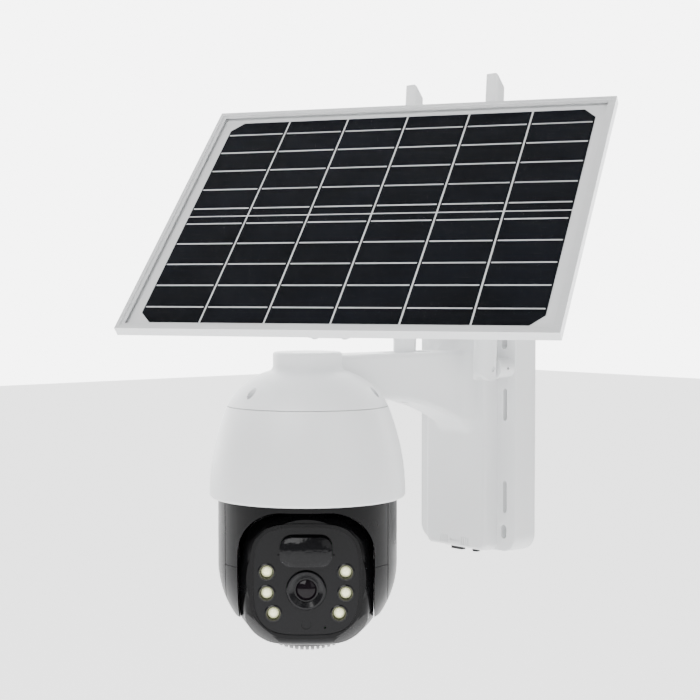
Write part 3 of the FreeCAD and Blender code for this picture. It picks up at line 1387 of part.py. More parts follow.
def antenna_blade(side):
    """White antenna, round at the foot and flat at the tip."""
    width = 2 * ANTENNA_RADIUS
    corner = ANTENNA_RADIUS - 0.02
    foot = rounded_plate(width, width, corner, -ANTENNA_HEEL_RADIUS, ANTENNA_ROUND_LENGTH)
    low = rounded_wire(width, width, corner, ANTENNA_ROUND_LENGTH)
    tip = rounded_wire(ANTENNA_TIP_WIDTH, ANTENNA_TIP_DEPTH, ANTENNA_TIP_CORNER, ANTENNA_LENGTH)
    blade = foot.fuse(Part.makeLoft([low, tip], True, True))
    heel_box = block(-99, 99, -99, 99, -99, 0)
    heel = heel_box.cut(rod(ANTENNA_HEEL_RADIUS, (-99, 0, 0), X_AXIS, 198))
    deep = ANTENNA_TIP_DEPTH / 2
    top = ANTENNA_LENGTH
    wedge = side_profile((-deep, top), [(deep + 1, top - ANTENNA_WEDGE), (deep + 1, top + 1)], 20)
    blade = blade.cut([heel, wedge])
    slot_half = TONGUE_HALF + TONGUE_GAP
    swing = TONGUE_HALF * 2 + 0.5
    slot = block(-slot_half, slot_half, -swing, 99, -99, swing)
    folded = ANTENNA_LEAN + ANTENNA_FOLD_BACK + FOLD_MARGIN
    neck_room = turned(block(-slot_half, slot_half, 0, 99, -99, swing), folded, X_AXIS)
    disc_room = rod(SWIVEL_DISC_RADIUS + SWIVEL_GAP, (0, disc_front() - SWIVEL_GAP, 0), Y_AXIS, 99)
    pin_hole = rod(FOLD_PIN_RADIUS + RUNNING_CLEARANCE, (-99, 0, 0), X_AXIS, 198)
    blade = blade.cut([slot, neck_room, turned(disc_room, folded, X_AXIS), pin_hole])
    return handed(turned(blade, -ANTENNA_LEAN, X_AXIS), side)


# ================================================================ neck of the panel
def neck_post():
    """Post that screws into the pad on the arm."""
    low = ARM_TOP - PAD_DEPTH
    post = rod(NECK_RADIUS, (0, NECK_Y, low), Z_AXIS, NECK_HEIGHT)
    shoulder = low + NECK_HEIGHT
    spigot = rod(NECK_SPIGOT_RADIUS, (0, NECK_Y, shoulder), Z_AXIS, COLLAR_HEIGHT + 2 * SWIVEL_GAP)
    stud = rod(NECK_STUD_RADIUS, (0, NECK_Y, low - NECK_STUD_LENGTH), Z_AXIS, NECK_STUD_LENGTH)
    return merged([post, spigot, stud])


def neck_shoulder():
    """Level on which the swivelling collar rests."""
    return ARM_TOP - PAD_DEPTH + NECK_HEIGHT


def neck_nut():
    """Nut inside the arm."""
    nut = Part.Face(Part.makePolygon(hexagon(NECK_NUT_RADIUS))).extrude(Vector(0, 0, NECK_NUT_HEIGHT))
    low = ARM_TOP - WALL - NECK_BOSS_HEIGHT - NECK_NUT_HEIGHT
    nut = moved(nut, 0, NECK_Y, low)
    return nut.cut(rod(NECK_STUD_RADIUS, (0, NECK_Y, low), Z_AXIS, 99))


def neck_cap():
    """Cap that keeps the collar on the post."""
    low = neck_shoulder() + COLLAR_HEIGHT + 2 * SWIVEL_GAP
    cap = rod(NECK_CAP_RADIUS, (0, NECK_Y, low), Z_AXIS, NECK_CAP_HEIGHT)
    edges = [e for e in cap.Edges if abs(e.BoundBox.ZMin - low - NECK_CAP_HEIGHT) < 0.001]
    return cap.makeFillet(0.9, edges)


def hinge_height():
    """Level of the tilt axis."""
    return ARM_TOP + HINGE_ABOVE_ARM


def swivel_arm():
    """Collar on the post with a bar that rises to the tilt hinge."""
    low = neck_shoulder() + SWIVEL_GAP
    collar = rod(COLLAR_RADIUS, (0, 0, low), Z_AXIS, COLLAR_HEIGHT)
    start_z = low + COLLAR_HEIGHT / 2
    rise = hinge_height() - start_z
    length = math.hypot(HINGE_FORWARD, rise)
    bar = block(-BAR_HALF_WIDTH, BAR_HALF_WIDTH, -length, 0, -BAR_HALF_HEIGHT, BAR_HALF_HEIGHT)
    slope = math.degrees(math.atan2(rise, HINGE_FORWARD))
    bar = moved(turned(bar, -slope, X_AXIS), z=start_z)
    outer_x = lug_plane() - LUG_GAP / 2
    lug_from = outer_x - LUG_THICKNESS
    lug = rod(LUG_RADIUS, (lug_from, -HINGE_FORWARD, hinge_height()), X_AXIS, LUG_THICKNESS)
    trim = rod(LUG_RADIUS + 1.5, (outer_x, -HINGE_FORWARD, hinge_height()), X_AXIS, 20)
    bore = rod(NECK_SPIGOT_RADIUS + RUNNING_CLEARANCE, (0, 0, 0), Z_AXIS, 999)
    arm = merged([collar, bar.cut(trim), lug])
    hole = rod(BOLT_RADIUS, (-50, -HINGE_FORWARD, hinge_height()), X_AXIS, 100)
    cap_room = rod(NECK_CAP_RADIUS + NECK_CAP_GAP, (0, 0, low + COLLAR_HEIGHT), Z_AXIS, 99)
    return on_neck(arm.cut([bore, hole, cap_room]))


def lug_plane():
    """Plane between the lug of the arm and the lug of the panel bracket."""
    return PANEL_SIDE_SHIFT - LUG_THICKNESS / 2 - LUG_GAP / 2


def tilt_bolt():
    """Bolt of the tilt hinge."""
    head_at = lug_plane() - LUG_GAP / 2 - LUG_THICKNESS
    z = hinge_height()
    head = Part.Face(Part.makePolygon(hexagon(BOLT_HEAD_RADIUS))).extrude(Vector(0, 0, BOLT_HEAD))
    head = moved(facing_x(head), head_at - BOLT_HEAD, -HINGE_FORWARD, z)
    length = knob_start() + KNOB_LENGTH - 2 - head_at
    return on_neck(merged([head, rod(BOLT_RADIUS, (head_at, -HINGE_FORWARD, z), X_AXIS, length)]))


def knob_start():
    """Inner end of the tilt knob."""
    return lug_plane() + LUG_GAP / 2 + LUG_THICKNESS + LUG_GAP


def tilt_knob():
    """Lobed hand knob on the tilt bolt."""
    knob = rod(KNOB_RADIUS, (0, 0, 0), Z_AXIS, KNOB_LENGTH)
    hub = rod(BOLT_RADIUS + 2.5, (0, 0, 0), Z_AXIS, 1.5)
    tools = []
    for lobe in range(KNOB_LOBES):
        turn = 2 * math.pi * lobe / KNOB_LOBES
        reach = KNOB_RADIUS + 1.2
        place = (reach * math.cos(turn), reach * math.sin(turn), 0)
        tools.append(rod(KNOB_SCALLOP, place, Z_AXIS, KNOB_LENGTH))
    tools.append(rod(BOLT_RADIUS + RUNNING_CLEARANCE, (0, 0, 0), Z_AXIS, KNOB_LENGTH - 1.5))
    knob = merged([knob.cut(tools[:-1]), hub]).cut(tools[-1])
    return on_neck(moved(facing_x(knob), knob_start(), -HINGE_FORWARD, hinge_height()))


# ================================================================ solar panel
def frame_rail(length, across):
    """One side of the frame with mitred ends: its outer edge at +Y, drawn about the panel's middle."""
    top = HINGE_BEHIND_FACE
    low = top - FRAME_DEPTH
    edge = across / 2
    half = length / 2
    lip = edge - FRAME_LIP
    under_lip = top - FRAME_LIP_THICKNESS
    sheet_low = laminate_low()
    points = [(edge, low), (edge, top), (edge - FRAME_STEP_AT, top), (edge - FRAME_STEP_AT, top - FRAME_STEP)]
    points += [(lip, top - FRAME_STEP), (lip, under_lip), (edge - FRAME_WALL, under_lip)]
    points += [(edge - FRAME_WALL, sheet_low), (edge - FRAME_FLANGE, sheet_low), (edge - FRAME_FLANGE, low)]
    rail = side_profile(points[0], points[1:], half)
    reach = FRAME_FLANGE + 1
    inner = edge - reach
    steps = [(-half, edge), (reach - half, inner), (half - reach, inner)]
    mitre = outline(lambda x, y: Vector(x, y, low - 1), (half, edge), steps)
    return rail.common(mitre.extrude(Vector(0, 0, FRAME_DEPTH + 2)))


def laminate_low():
    """Underside of the glass, cells and back sheet stack."""
    stack = GLASS_THICKNESS + WIRE_THICKNESS + CELL_THICKNESS + SHEET_THICKNESS
    return HINGE_BEHIND_FACE - FRAME_LIP_THICKNESS - stack


def long_rails():
    """Upper and lower rails of the frame."""
    rail = frame_rail(PANEL_WIDTH, PANEL_HEIGHT)
    return on_panel(Part.makeCompound([rail, turned(rail, 180)]))


def short_rails():
    """Left and right rails of the frame."""
    rail = turned(frame_rail(PANEL_HEIGHT, PANEL_WIDTH), 90)
    return on_panel(Part.makeCompound([rail, turned(rail, 180)]))


def laminate_sheet(low, high):
    """Sheet as large as the frame holds."""
    half_x = PANEL_WIDTH / 2 - FRAME_WALL - LAMINATE_GAP
    half_y = PANEL_HEIGHT / 2 - FRAME_WALL - LAMINATE_GAP
    return block(-half_x, half_x, -half_y, half_y, low, high)


def back_sheet():
    """White sheet behind the cells."""
    low = laminate_low()
    return on_panel(laminate_sheet(low, low + SHEET_THICKNESS))


def panel_glass():
    """Clear front sheet."""
    top = HINGE_BEHIND_FACE - FRAME_LIP_THICKNESS
    return on_panel(laminate_sheet(top - GLASS_THICKNESS, top))


def cell_box(column, row):
    """Low and high corners of one solar cell."""
    field_x = PANEL_WIDTH - 2 * CELL_SIDE_MARGIN
    field_y = PANEL_HEIGHT - 2 * CELL_END_MARGIN
    step_x = (field_x + CELL_GAP) / CELL_COLUMNS
    step_y = (field_y + CELL_GAP) / CELL_ROWS
    low_x = -field_x / 2 + column * step_x
    low_y = -field_y / 2 + row * step_y
    return low_x, low_x + step_x - CELL_GAP, low_y, low_y + step_y - CELL_GAP


def solar_cells():
    """Dark cells, the four outer corners cut off."""
    low = laminate_low() + SHEET_THICKNESS
    high = low + CELL_THICKNESS
    field_x = PANEL_WIDTH / 2 - CELL_SIDE_MARGIN
    field_y = PANEL_HEIGHT / 2 - CELL_END_MARGIN
    cells = []
    for column in range(CELL_COLUMNS):
        for row in range(CELL_ROWS):
            cell = block(*cell_box(column, row), low, high)
            if column in (0, CELL_COLUMNS - 1):
                cell = cell.cut(corner_wedge(field_x, field_y, column, row, low, high))
            cells.append(cell)
    return on_panel(Part.makeCompound(cells))


def corner_wedge(field_x, field_y, column, row, low, high):
    """Tool that cuts an outer corner off the field of cells."""
    side_x = -1 if column == 0 else 1
    side_y = -1 if row == 0 else 1
    tip = (side_x * field_x, side_y * field_y)
    steps = [(tip[0] - side_x * CELL_CHAMFER, tip[1]), (tip[0], tip[1] - side_y * CELL_CHAMFER)]
    face = outline(lambda x, y: Vector(x, y, low), tip, steps)
    return face.extrude(Vector(0, 0, high - low))


def cell_wires():
    """Thin conductors across every cell."""
    low = laminate_low() + SHEET_THICKNESS + CELL_THICKNESS
    wires = []
    for column in range(CELL_COLUMNS):
        for row in range(CELL_ROWS):
            low_x, high_x, low_y, high_y = cell_box(column, row)
            pitch = (high_y - low_y - WIRE_FIRST - WIRE_LAST) / (WIRES_PER_CELL - 1)
            for index in range(WIRES_PER_CELL):
                offset = WIRE_FIRST + index * pitch
                y = low_y + offset if row == 0 else high_y - offset
                along = (low_x + WIRE_INSET, high_x - WIRE_INSET)
                across = (y - WIRE_WIDTH / 2, y + WIRE_WIDTH / 2)
                wires.append(block(*along, *across, low, low + WIRE_THICKNESS))
    return on_panel(Part.makeCompound(wires))





def bar_rivet_places():
    """Rivets of the flat bar."""
    y = PANEL_HEIGHT / 2 - FRAME_FLANGE / 2
    x = STRAP_BAR_WIDTH / 2 - 6
    return [(side_x * x, side_y * y) for side_x in (-1, 1) for side_y in (-1, 1)]


def bar_rivets():
    """Rivets that hold the flat bar to the frame."""
    top = HINGE_BEHIND_FACE - FRAME_DEPTH
    low = top - STRAP_BAR_THICKNESS
    rivets = []
    for x, y in bar_rivet_places():
        shank = rod(RIVET_RADIUS, (x, y, low), Z_AXIS, STRAP_BAR_THICKNESS)
        rivets.append(shank.fuse(rod(RIVET_HEAD_RADIUS, (x, y, low - RIVET_HEAD), Z_AXIS, RIVET_HEAD)))
    return on_panel(Part.makeCompound(rivets))


def panel_bracket():
    """Flat bar across the back of the frame with the lug of the tilt hinge."""
    top = HINGE_BEHIND_FACE - FRAME_DEPTH
    low = top - STRAP_BAR_THICKNESS
    bar = rounded_plate(STRAP_BAR_WIDTH, PANEL_HEIGHT - 3, 4.0, low, top)
    half = LUG_THICKNESS / 2
    eye = rod(LUG_RADIUS, (-half, 0, 0), X_AXIS, LUG_THICKNESS)
    foot = LUG_RADIUS + 3
    web = side_profile((-LUG_RADIUS, 0), [(LUG_RADIUS, 0), (foot, low + 0.5), (-foot, low + 0.5)], half)
    tools = [rod(BOLT_RADIUS + RUNNING_CLEARANCE, (-99, 0, 0), X_AXIS, 198)]
    for x, y in bar_rivet_places():
        tools.append(rod(RIVET_RADIUS, (x, y, low), Z_AXIS, 9))
    return on_panel(merged([bar, eye, web]).cut(tools))


def junction_box():
    """Box on the back sheet where the panel's wires come together."""
    x, y = JUNCTION_PLACE
    top = laminate_low()
    shell = rounded_plate(JUNCTION_WIDTH, JUNCTION_HEIGHT, 4.0, top - JUNCTION_DEPTH, top)
    inner = rounded_plate(JUNCTION_WIDTH - 3, JUNCTION_HEIGHT - 3, 2.5, top - JUNCTION_DEPTH + 1.5, top)
    box = moved(shell.cut(inner), x, y)
    return on_panel(box.cut(rod(3.4, (x, y, gland_level()), -Y_AXIS, 40)))


def gland_level():
    """Height of the cable gland's axis."""
    return laminate_low() - JUNCTION_DEPTH / 2


def cable_gland():
    """Gland in the lower side of the junction box, its hole empty."""
    x, y = JUNCTION_PLACE
    wall = y - JUNCTION_HEIGHT / 2
    z = gland_level()
    nut = rod(GLAND_RADIUS, (x, wall, z), -Y_AXIS, GLAND_LENGTH)
    thread = rod(3.4, (x, wall, z), Y_AXIS, 1.5)
    return on_panel(merged([nut, thread]).cut(rod(GLAND_HOLE_RADIUS, (x, wall + 2, z), -Y_AXIS, 30)))


# ================================================================ all pieces
PIECES = {
    "back_shell": back_shell,
    "box_gasket": lambda: gasket_ring(GASKET_DEPTH),
    "arm_cover": arm_cover,
    "box_screws": box_screws,
    "battery_cells": battery_cells,
    "charge_board": charge_board,
    "charge_socket": charge_socket,
    "port_cap": port_cap,
    "power_button": power_button,
    "dome_skirt": dome_skirt,
    "dome_deck": dome_deck,
    "dome_screws": dome_screws,
    "main_board": main_board,
    "pan_motor": pan_motor,
    "pan_pinion": pan_pinion,
    "pan_gear_spindle": pan_gear_spindle,
    "spindle_screws": spindle_screws,
    "pan_clip": pan_clip,
    "yoke_body": yoke_body,
    "ear_covers": lambda: pair(ear_cover),
    "tilt_axles": lambda: pair(tilt_axle),
    "tilt_gear": tilt_gear,
    "tilt_pinion": tilt_pinion,
    "tilt_motor": tilt_motor,
    "head_front_shell": head_front_shell,
    "head_rear_shell": head_rear_shell,
    "card_cover": card_cover,
    "face_bezel": face_bezel,
    "face_window": face_window,
    "pir_lens": pir_lens,
    "lens_barrel": lens_barrel,
    "lens_glass": lens_glass,
    "light_rings": light_rings,
    "light_domes": light_domes,
    "light_board": light_board,
    "light_sensor": light_sensor,
    "sensor_board": sensor_board,
    "speaker_grille": speaker_grille,
    "speaker": speaker,
    "antenna_stubs": lambda: pair(antenna_stub),
    "antenna_knuckle_right": lambda: antenna_knuckle(1),
    "antenna_knuckle_left": lambda: antenna_knuckle(-1),
    "antenna_blade_right": lambda: antenna_blade(1),
    "antenna_blade_left": lambda: antenna_blade(-1),
    "neck_post": neck_post,
    "neck_nut": neck_nut,
    "neck_cap": neck_cap,
    "swivel_arm": swivel_arm,
    "tilt_bolt": tilt_bolt,
    "tilt_knob": tilt_knob,
    "long_rails": long_rails,
    "short_rails": short_rails,
    "panel_glass": panel_glass,
    "solar_cells": solar_cells,
    "cell_wires": cell_wires,
    "back_sheet": back_sheet,
    "bar_rivets": bar_rivets,
    "panel_bracket": panel_bracket,
    "junction_box": junction_box,
    "cable_gland": cable_gland,
}

os.makedirs("parts", exist_ok=True)
for piece_name, make_piece in PIECES.items():
    make_piece().exportStep(f"parts/{piece_name}.step")
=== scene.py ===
"""Looks of a solar powered pan and tilt security camera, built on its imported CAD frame.

Every sub-assembly is a class that gives its CAD pieces their finishes.  All lengths are metres in
the frame of the record.
"""
import json
import logging
import math
from dataclasses import dataclass, field
from enum import Enum

import bmesh
import bpy
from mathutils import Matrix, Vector


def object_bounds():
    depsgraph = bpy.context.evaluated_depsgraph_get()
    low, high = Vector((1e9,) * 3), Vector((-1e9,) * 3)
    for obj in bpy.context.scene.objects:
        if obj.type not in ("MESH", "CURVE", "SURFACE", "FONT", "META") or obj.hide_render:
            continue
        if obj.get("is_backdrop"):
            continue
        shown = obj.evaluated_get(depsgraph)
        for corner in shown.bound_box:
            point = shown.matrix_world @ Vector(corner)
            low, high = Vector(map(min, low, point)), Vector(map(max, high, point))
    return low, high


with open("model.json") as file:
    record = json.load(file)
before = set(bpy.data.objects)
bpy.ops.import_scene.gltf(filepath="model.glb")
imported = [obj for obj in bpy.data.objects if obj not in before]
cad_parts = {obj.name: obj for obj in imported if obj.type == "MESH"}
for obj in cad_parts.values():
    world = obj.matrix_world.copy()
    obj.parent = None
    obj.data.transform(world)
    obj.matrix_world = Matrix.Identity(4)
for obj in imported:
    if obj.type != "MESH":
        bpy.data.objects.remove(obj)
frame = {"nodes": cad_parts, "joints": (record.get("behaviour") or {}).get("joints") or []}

LOG = logging.getLogger("camera")
Colour = tuple[float, float, float]


class Slot(Enum):
    """Material slots of the record."""

    WHITE_PLASTIC = "white_plastic"
    BLACK_PLASTIC = "black_plastic"
    BLACK_GLOSS = "black_gloss"
    GREY_PLASTIC = "grey_plastic"
    GEAR_PLASTIC = "gear_plastic"
    RUBBER = "rubber"
    STEEL = "steel"
    FRAME_METAL = "frame_metal"
    BOARD = "board"
    GLASS = "glass"
    LAMP = "lamp"
    SILICON = "silicon"
    BACK_SHEET = "back_sheet"
    CELL_WRAP = "cell_wrap"


class Graph:
    """Small helper round one material's node tree."""

    def __init__(self, name: str) -> None:
        """Start an empty material.

        Args:
            name: Name of the material.
        """
        self.material = bpy.data.materials.new(name)
        self.material.use_nodes = True
        self.tree = self.material.node_tree
        self.tree.nodes.clear()
        self.output = self.tree.nodes.new("ShaderNodeOutputMaterial")
        self.shader = self.tree.nodes.new("ShaderNodeBsdfPrincipled")
        self.join(self.shader.outputs["BSDF"], self.output.inputs["Surface"])
        self.coordinates = self.tree.nodes.new("ShaderNodeTexCoord").outputs["Object"]

    def join(self, start: bpy.types.NodeSocket, end: bpy.types.NodeSocket) -> None:
        """Link two sockets.

        Args:
            start: Output socket.
            end: Input socket.
        """
        self.tree.links.new(start, end)

    def noise(self, scale: float, detail: float = 2.0, stretch: Colour = (1.0, 1.0, 1.0),
              turn: Colour = (0.0, 0.0, 0.0)) -> bpy.types.NodeSocket:
        """Add a noise texture in object space.

        Args:
            scale: Features per metre.
            detail: Octaves.
            stretch: Scale along each axis, for streaks.
            turn: Rotation of the texture in radians.

        Returns:
            The noise value, between 0 and 1.
        """
        texture = self.tree.nodes.new("ShaderNodeTexNoise")
        texture.inputs["Scale"].default_value = scale
        texture.inputs["Detail"].default_value = detail
        self.join(self.mapped(stretch, turn), texture.inputs["Vector"])
        return texture.outputs["Fac"]

    def mapped(self, stretch: Colour = (1.0, 1.0, 1.0), turn: Colour = (0.0, 0.0, 0.0),
               source: bpy.types.NodeSocket | None = None) -> bpy.types.NodeSocket:
        """Place object coordinates in a frame of their own.

        Args:
            stretch: Scale along each axis.
            turn: Rotation in radians.
            source: Coordinates to start from, or None for the object's own.

        Returns:
            The placed vector.
        """
        mapping = self.tree.nodes.new("ShaderNodeMapping")
        mapping.inputs["Scale"].default_value = stretch
        mapping.inputs["Rotation"].default_value = turn
        self.join(source or self.coordinates, mapping.inputs["Vector"])
        return mapping.outputs["Vector"]

    def ramp(self, value: bpy.types.NodeSocket, low: Colour, high: Colour,
             start: float = 0.35, end: float = 0.65) -> bpy.types.NodeSocket:
        """Turn a value into a colour between two.

        Args:
            value: Number between 0 and 1.
            low: Colour below start.
            high: Colour above end.
            start: Value where the change begins.
            end: Value where it ends.

        Returns:
            The colour.
        """
        ramp = self.tree.nodes.new("ShaderNodeValToRGB")
        first, last = ramp.color_ramp.elements
        first.position, last.position = start, end
        first.color, last.color = (*low, 1.0), (*high, 1.0)
        self.join(value, ramp.inputs["Fac"])
        return ramp.outputs["Color"]

    def spread(self, value: bpy.types.NodeSocket, low: float, high: float) -> bpy.types.NodeSocket:
        """Spread a value of 0.3 to 0.7 over a range.

        Args:
            value: Noise value.
            low: Result at 0.3.
            high: Result at 0.7.

        Returns:
            The spread value.
        """
        spread = self.tree.nodes.new("ShaderNodeMapRange")
        spread.inputs["From Min"].default_value = 0.3
        spread.inputs["From Max"].default_value = 0.7
        spread.inputs["To Min"].default_value = low
        spread.inputs["To Max"].default_value = high
        self.join(value, spread.inputs["Value"])
        return spread.outputs["Result"]

    def math(self, operation: str, first: bpy.types.NodeSocket | float,
             second: bpy.types.NodeSocket | float = 0.0) -> bpy.types.NodeSocket:
        """Add a maths node.

        Args:
            operation: Blender's name of the operation.
            first: First input.
            second: Second input.

        Returns:
            The result.
        """
        node = self.tree.nodes.new("ShaderNodeMath")
        node.operation = operation
        for socket, value in zip(node.inputs, (first, second)):
            if isinstance(value, (int, float)):
                socket.default_value = value
            else:
                self.join(value, socket)
        return node.outputs["Value"]

    def bump(self, height: bpy.types.NodeSocket, distance: float, strength: float = 1.0) -> None:
        """Raise the surface by a height field.

        Args:
            height: Height value.
            distance: Metres per unit of height.
            strength: Share of the effect.
        """
        node = self.tree.nodes.new("ShaderNodeBump")
        node.inputs["Distance"].default_value = distance
        node.inputs["Strength"].default_value = strength
        self.join(height, node.inputs["Height"])
        self.join(node.outputs["Normal"], self.shader.inputs["Normal"])

    def constant(self, **values: float | Colour) -> None:
        """Set inputs of the shader that are the same everywhere.

        Args:
            **values: Input names, with _ for a space, and their values.
        """
        for name, value in values.items():
            socket = self.shader.inputs[name.replace("_", " ")]
            socket.default_value = (*value, 1.0) if isinstance(value, tuple) else value


@dataclass(frozen=True)
class Plastic:
    """Moulded plastic with a spark-eroded grain and a faint unevenness of tone."""

    colour: Colour
    roughness: float = 0.42
    grain: float = 2600.0
    grain_height: float = 0.00002
    tone: float = 0.03
    coat: float = 0.0
    specular: float = 0.5
    glow: float = 0.0

    def material(self, name: str) -> bpy.types.Material:
        """Build the material.

        Args:
            name: Name of the material.

        Returns:
            The material.
        """
        graph = Graph(name)
        darker = tuple(c * (1.0 - self.tone) for c in self.colour)
        tone = graph.noise(14.0, 3.0)
        graph.join(graph.ramp(tone, darker, self.colour), graph.shader.inputs["Base Color"])
        worn = graph.noise(60.0, 4.0)
        graph.join(graph.spread(worn, self.roughness - 0.04, self.roughness + 0.04),
                   graph.shader.inputs["Roughness"])
        graph.bump(graph.noise(self.grain, 2.0), self.grain_height, 0.6)
        graph.constant(IOR=1.48, Coat_Weight=self.coat, Coat_Roughness=0.12,
                       Specular_IOR_Level=self.specular, Emission_Color=self.colour,
                       Emission_Strength=self.glow)
        return graph.material


@dataclass(frozen=True)
class Gloss:
    """Polished dark window or lens with faint smears."""

    colour: Colour
    roughness: float = 0.06
    smear: float = 0.05
    ribs: float = 0.0

    def material(self, name: str) -> bpy.types.Material:
        """Build the material.

        Args:
            name: Name of the material.

        Returns:
            The material.
        """
        graph = Graph(name)
        deeper = tuple(c * 0.7 for c in self.colour)
        tone = graph.ramp(graph.noise(30.0, 3.0), deeper, self.colour)
        graph.join(tone, graph.shader.inputs["Base Color"])
        smears = graph.noise(110.0, 5.0, (1.0, 1.0, 3.0))
        graph.join(graph.spread(smears, self.roughness, self.roughness + self.smear),
                   graph.shader.inputs["Roughness"])
        if self.ribs:
            cells = graph.tree.nodes.new("ShaderNodeTexVoronoi")
            cells.feature = "DISTANCE_TO_EDGE"
            cells.inputs["Scale"].default_value = self.ribs
            graph.join(graph.coordinates, cells.inputs["Vector"])
            graph.bump(cells.outputs["Distance"], 0.0006, 0.35)
        else:
            graph.bump(graph.noise(420.0, 2.0), 0.000004, 0.4)
        graph.constant(IOR=1.52, Coat_Weight=0.04, Coat_Roughness=0.03, Specular_IOR_Level=0.15)
        return graph.material


@dataclass(frozen=True)
class Metal:
    """Brushed or drawn metal; streaks run along one direction."""

    colour: Colour
    roughness: float = 0.32
    metallic: float = 1.0
    streaks: Colour = (1.0, 1.0, 30.0)
    turn: Colour = (0.0, 0.0, 0.0)
    contrast: float = 0.12

    def material(self, name: str) -> bpy.types.Material:
        """Build the material.

        Args:
            name: Name of the material.

        Returns:
            The material.
        """
        graph = Graph(name)
        streak = graph.noise(120.0, 4.0, self.streaks, self.turn)
        darker = tuple(c * (1.0 - self.contrast) for c in self.colour)
        graph.join(graph.ramp(streak, darker, self.colour), graph.shader.inputs["Base Color"])
        graph.join(graph.spread(streak, self.roughness - 0.06, self.roughness + 0.08),
                   graph.shader.inputs["Roughness"])
        graph.bump(streak, 0.000012, 0.5)
        graph.constant(Metallic=self.metallic)
        return graph.material


@dataclass(frozen=True)
class SolarCell:
    """Blue-black silicon with fine collector lines, drawn in the panel's own plane."""

    tilt: float
    swivel: float
    colour: Colour = (0.0025, 0.003, 0.0045)
    sheen: Colour = (0.004, 0.0052, 0.009)
    line: Colour = (0.006, 0.0065, 0.008)
    line_pitch: float = 0.0016
    line_share: float = 0.93

    def material(self, name: str) -> bpy.types.Material:
        """Build the material.

        Args:
            name: Name of the material.

        Returns:
            The material.
        """
        graph = Graph(name)
        level = graph.mapped(turn=(0.0, 0.0, -self.swivel))
        flat = graph.mapped(turn=(-self.tilt, 0.0, 0.0), source=level)
        parts = graph.tree.nodes.new("ShaderNodeSeparateXYZ")
        graph.join(flat, parts.inputs["Vector"])
        across = graph.math("DIVIDE", parts.outputs["X"], self.line_pitch)
        fraction = graph.math("FRACT", across)
        lines = graph.math("GREATER_THAN", fraction, self.line_share)
        silicon = graph.ramp(graph.noise(22.0, 4.0, (1.0, 1.0, 1.0)), self.colour, self.sheen, 0.3, 0.75)
        mix = graph.tree.nodes.new("ShaderNodeMix")
        mix.data_type = "RGBA"
        graph.join(lines, mix.inputs["Factor"])
        graph.join(silicon, mix.inputs["A"])
        mix.inputs["B"].default_value = (*self.line, 1.0)
        graph.join(mix.outputs["Result"], graph.shader.inputs["Base Color"])
        graph.join(graph.spread(graph.noise(40.0, 3.0), 0.36, 0.42), graph.shader.inputs["Roughness"])
        graph.bump(lines, 0.000004, 0.3)
        graph.constant(IOR=1.45, Specular_IOR_Level=0.02)
        return graph.material


@dataclass(frozen=True)
class ClearSheet:
    """Clear cover glass; nearly all of what is under it shows through."""

    colour: Colour = (0.93, 0.95, 0.96)
    opacity: float = 0.002
    roughness: float = 0.12

    def material(self, name: str) -> bpy.types.Material:
        """Build the material.

        Args:
            name: Name of the material.

        Returns:
            The material.
        """
        graph = Graph(name)
        dust = graph.noise(45.0, 5.0)
        graph.join(graph.ramp(dust, tuple(c * 0.9 for c in self.colour), self.colour),
                   graph.shader.inputs["Base Color"])
        graph.join(graph.spread(dust, self.opacity * 0.7, self.opacity * 1.3), graph.shader.inputs["Alpha"])
        graph.join(graph.spread(graph.noise(400.0, 2.0), self.roughness, self.roughness + 0.1),
                   graph.shader.inputs["Roughness"])
        graph.constant(IOR=1.5)
        return graph.material


@dataclass(frozen=True)
class LampDome:
    """Clear dome over a yellow phosphor, with painted light: a painted highlight where the dome faces the
    camera, painted shade towards its edge, and a glow in the same colours.
    """

    # centre: yellow phosphor with a painted highlight, shown where the dome faces the camera
    centre: Colour = (0.98, 0.98, 0.62)
    # rim_shade: painted shade at the grazing edge of the dome
    rim_shade: Colour = (0.12, 0.14, 0.03)
    # glow: emission strength; the emission carries the painted highlight and shade of the colour ramp
    glow: float = 0.8

    def material(self, name: str) -> bpy.types.Material:
        """Build the material.

        Args:
            name: Name of the material.

        Returns:
            The material.
        """
        graph = Graph(name)
        # Painted highlight and painted shade: the colour follows how squarely the dome faces the camera,
        # bright in the middle and dark at the grazing edge
        facing = graph.tree.nodes.new("ShaderNodeLayerWeight")
        facing.inputs["Blend"].default_value = 0.35
        mottle = graph.spread(graph.noise(900.0, 2.0), -0.05, 0.05)
        mottled = graph.math("ADD", facing.outputs["Facing"], mottle)
        colour = graph.ramp(mottled, self.centre, self.rim_shade, 0.05, 0.55)
        graph.join(colour, graph.shader.inputs["Base Color"])
        # The emission repeats the painted highlight and shade as a glow
        graph.join(colour, graph.shader.inputs["Emission Color"])
        graph.constant(Emission_Strength=self.glow, Roughness=0.08, IOR=1.5, Coat_Weight=0.8)
        return graph.material


@dataclass(frozen=True)
class Board:
    """Circuit board with copper tracks under green lacquer."""

    lacquer: Colour = (0.012, 0.09, 0.035)
    copper: Colour = (0.05, 0.19, 0.07)

    def material(self, name: str) -> bpy.types.Material:
        """Build the material.

        Args:
            name: Name of the material.

        Returns:
            The material.
        """
        graph = Graph(name)
        tracks = graph.tree.nodes.new("ShaderNodeTexBrick")
        tracks.inputs["Scale"].default_value = 150.0
        tracks.inputs["Mortar Size"].default_value = 0.03
        tracks.inputs["Color1"].default_value = (*self.lacquer, 1.0)
        tracks.inputs["Color2"].default_value = (*(c * 0.9 for c in self.lacquer), 1.0)
        tracks.inputs["Mortar"].default_value = (*self.copper, 1.0)
        graph.join(graph.coordinates, tracks.inputs["Vector"])
        graph.join(tracks.outputs["Color"], graph.shader.inputs["Base Color"])
        graph.join(graph.spread(graph.noise(80.0, 3.0), 0.25, 0.4), graph.shader.inputs["Roughness"])
        graph.bump(tracks.outputs["Fac"], 0.00003, 0.5)
        return graph.material


Finish = Plastic | Gloss | Metal | SolarCell | ClearSheet | LampDome | Board


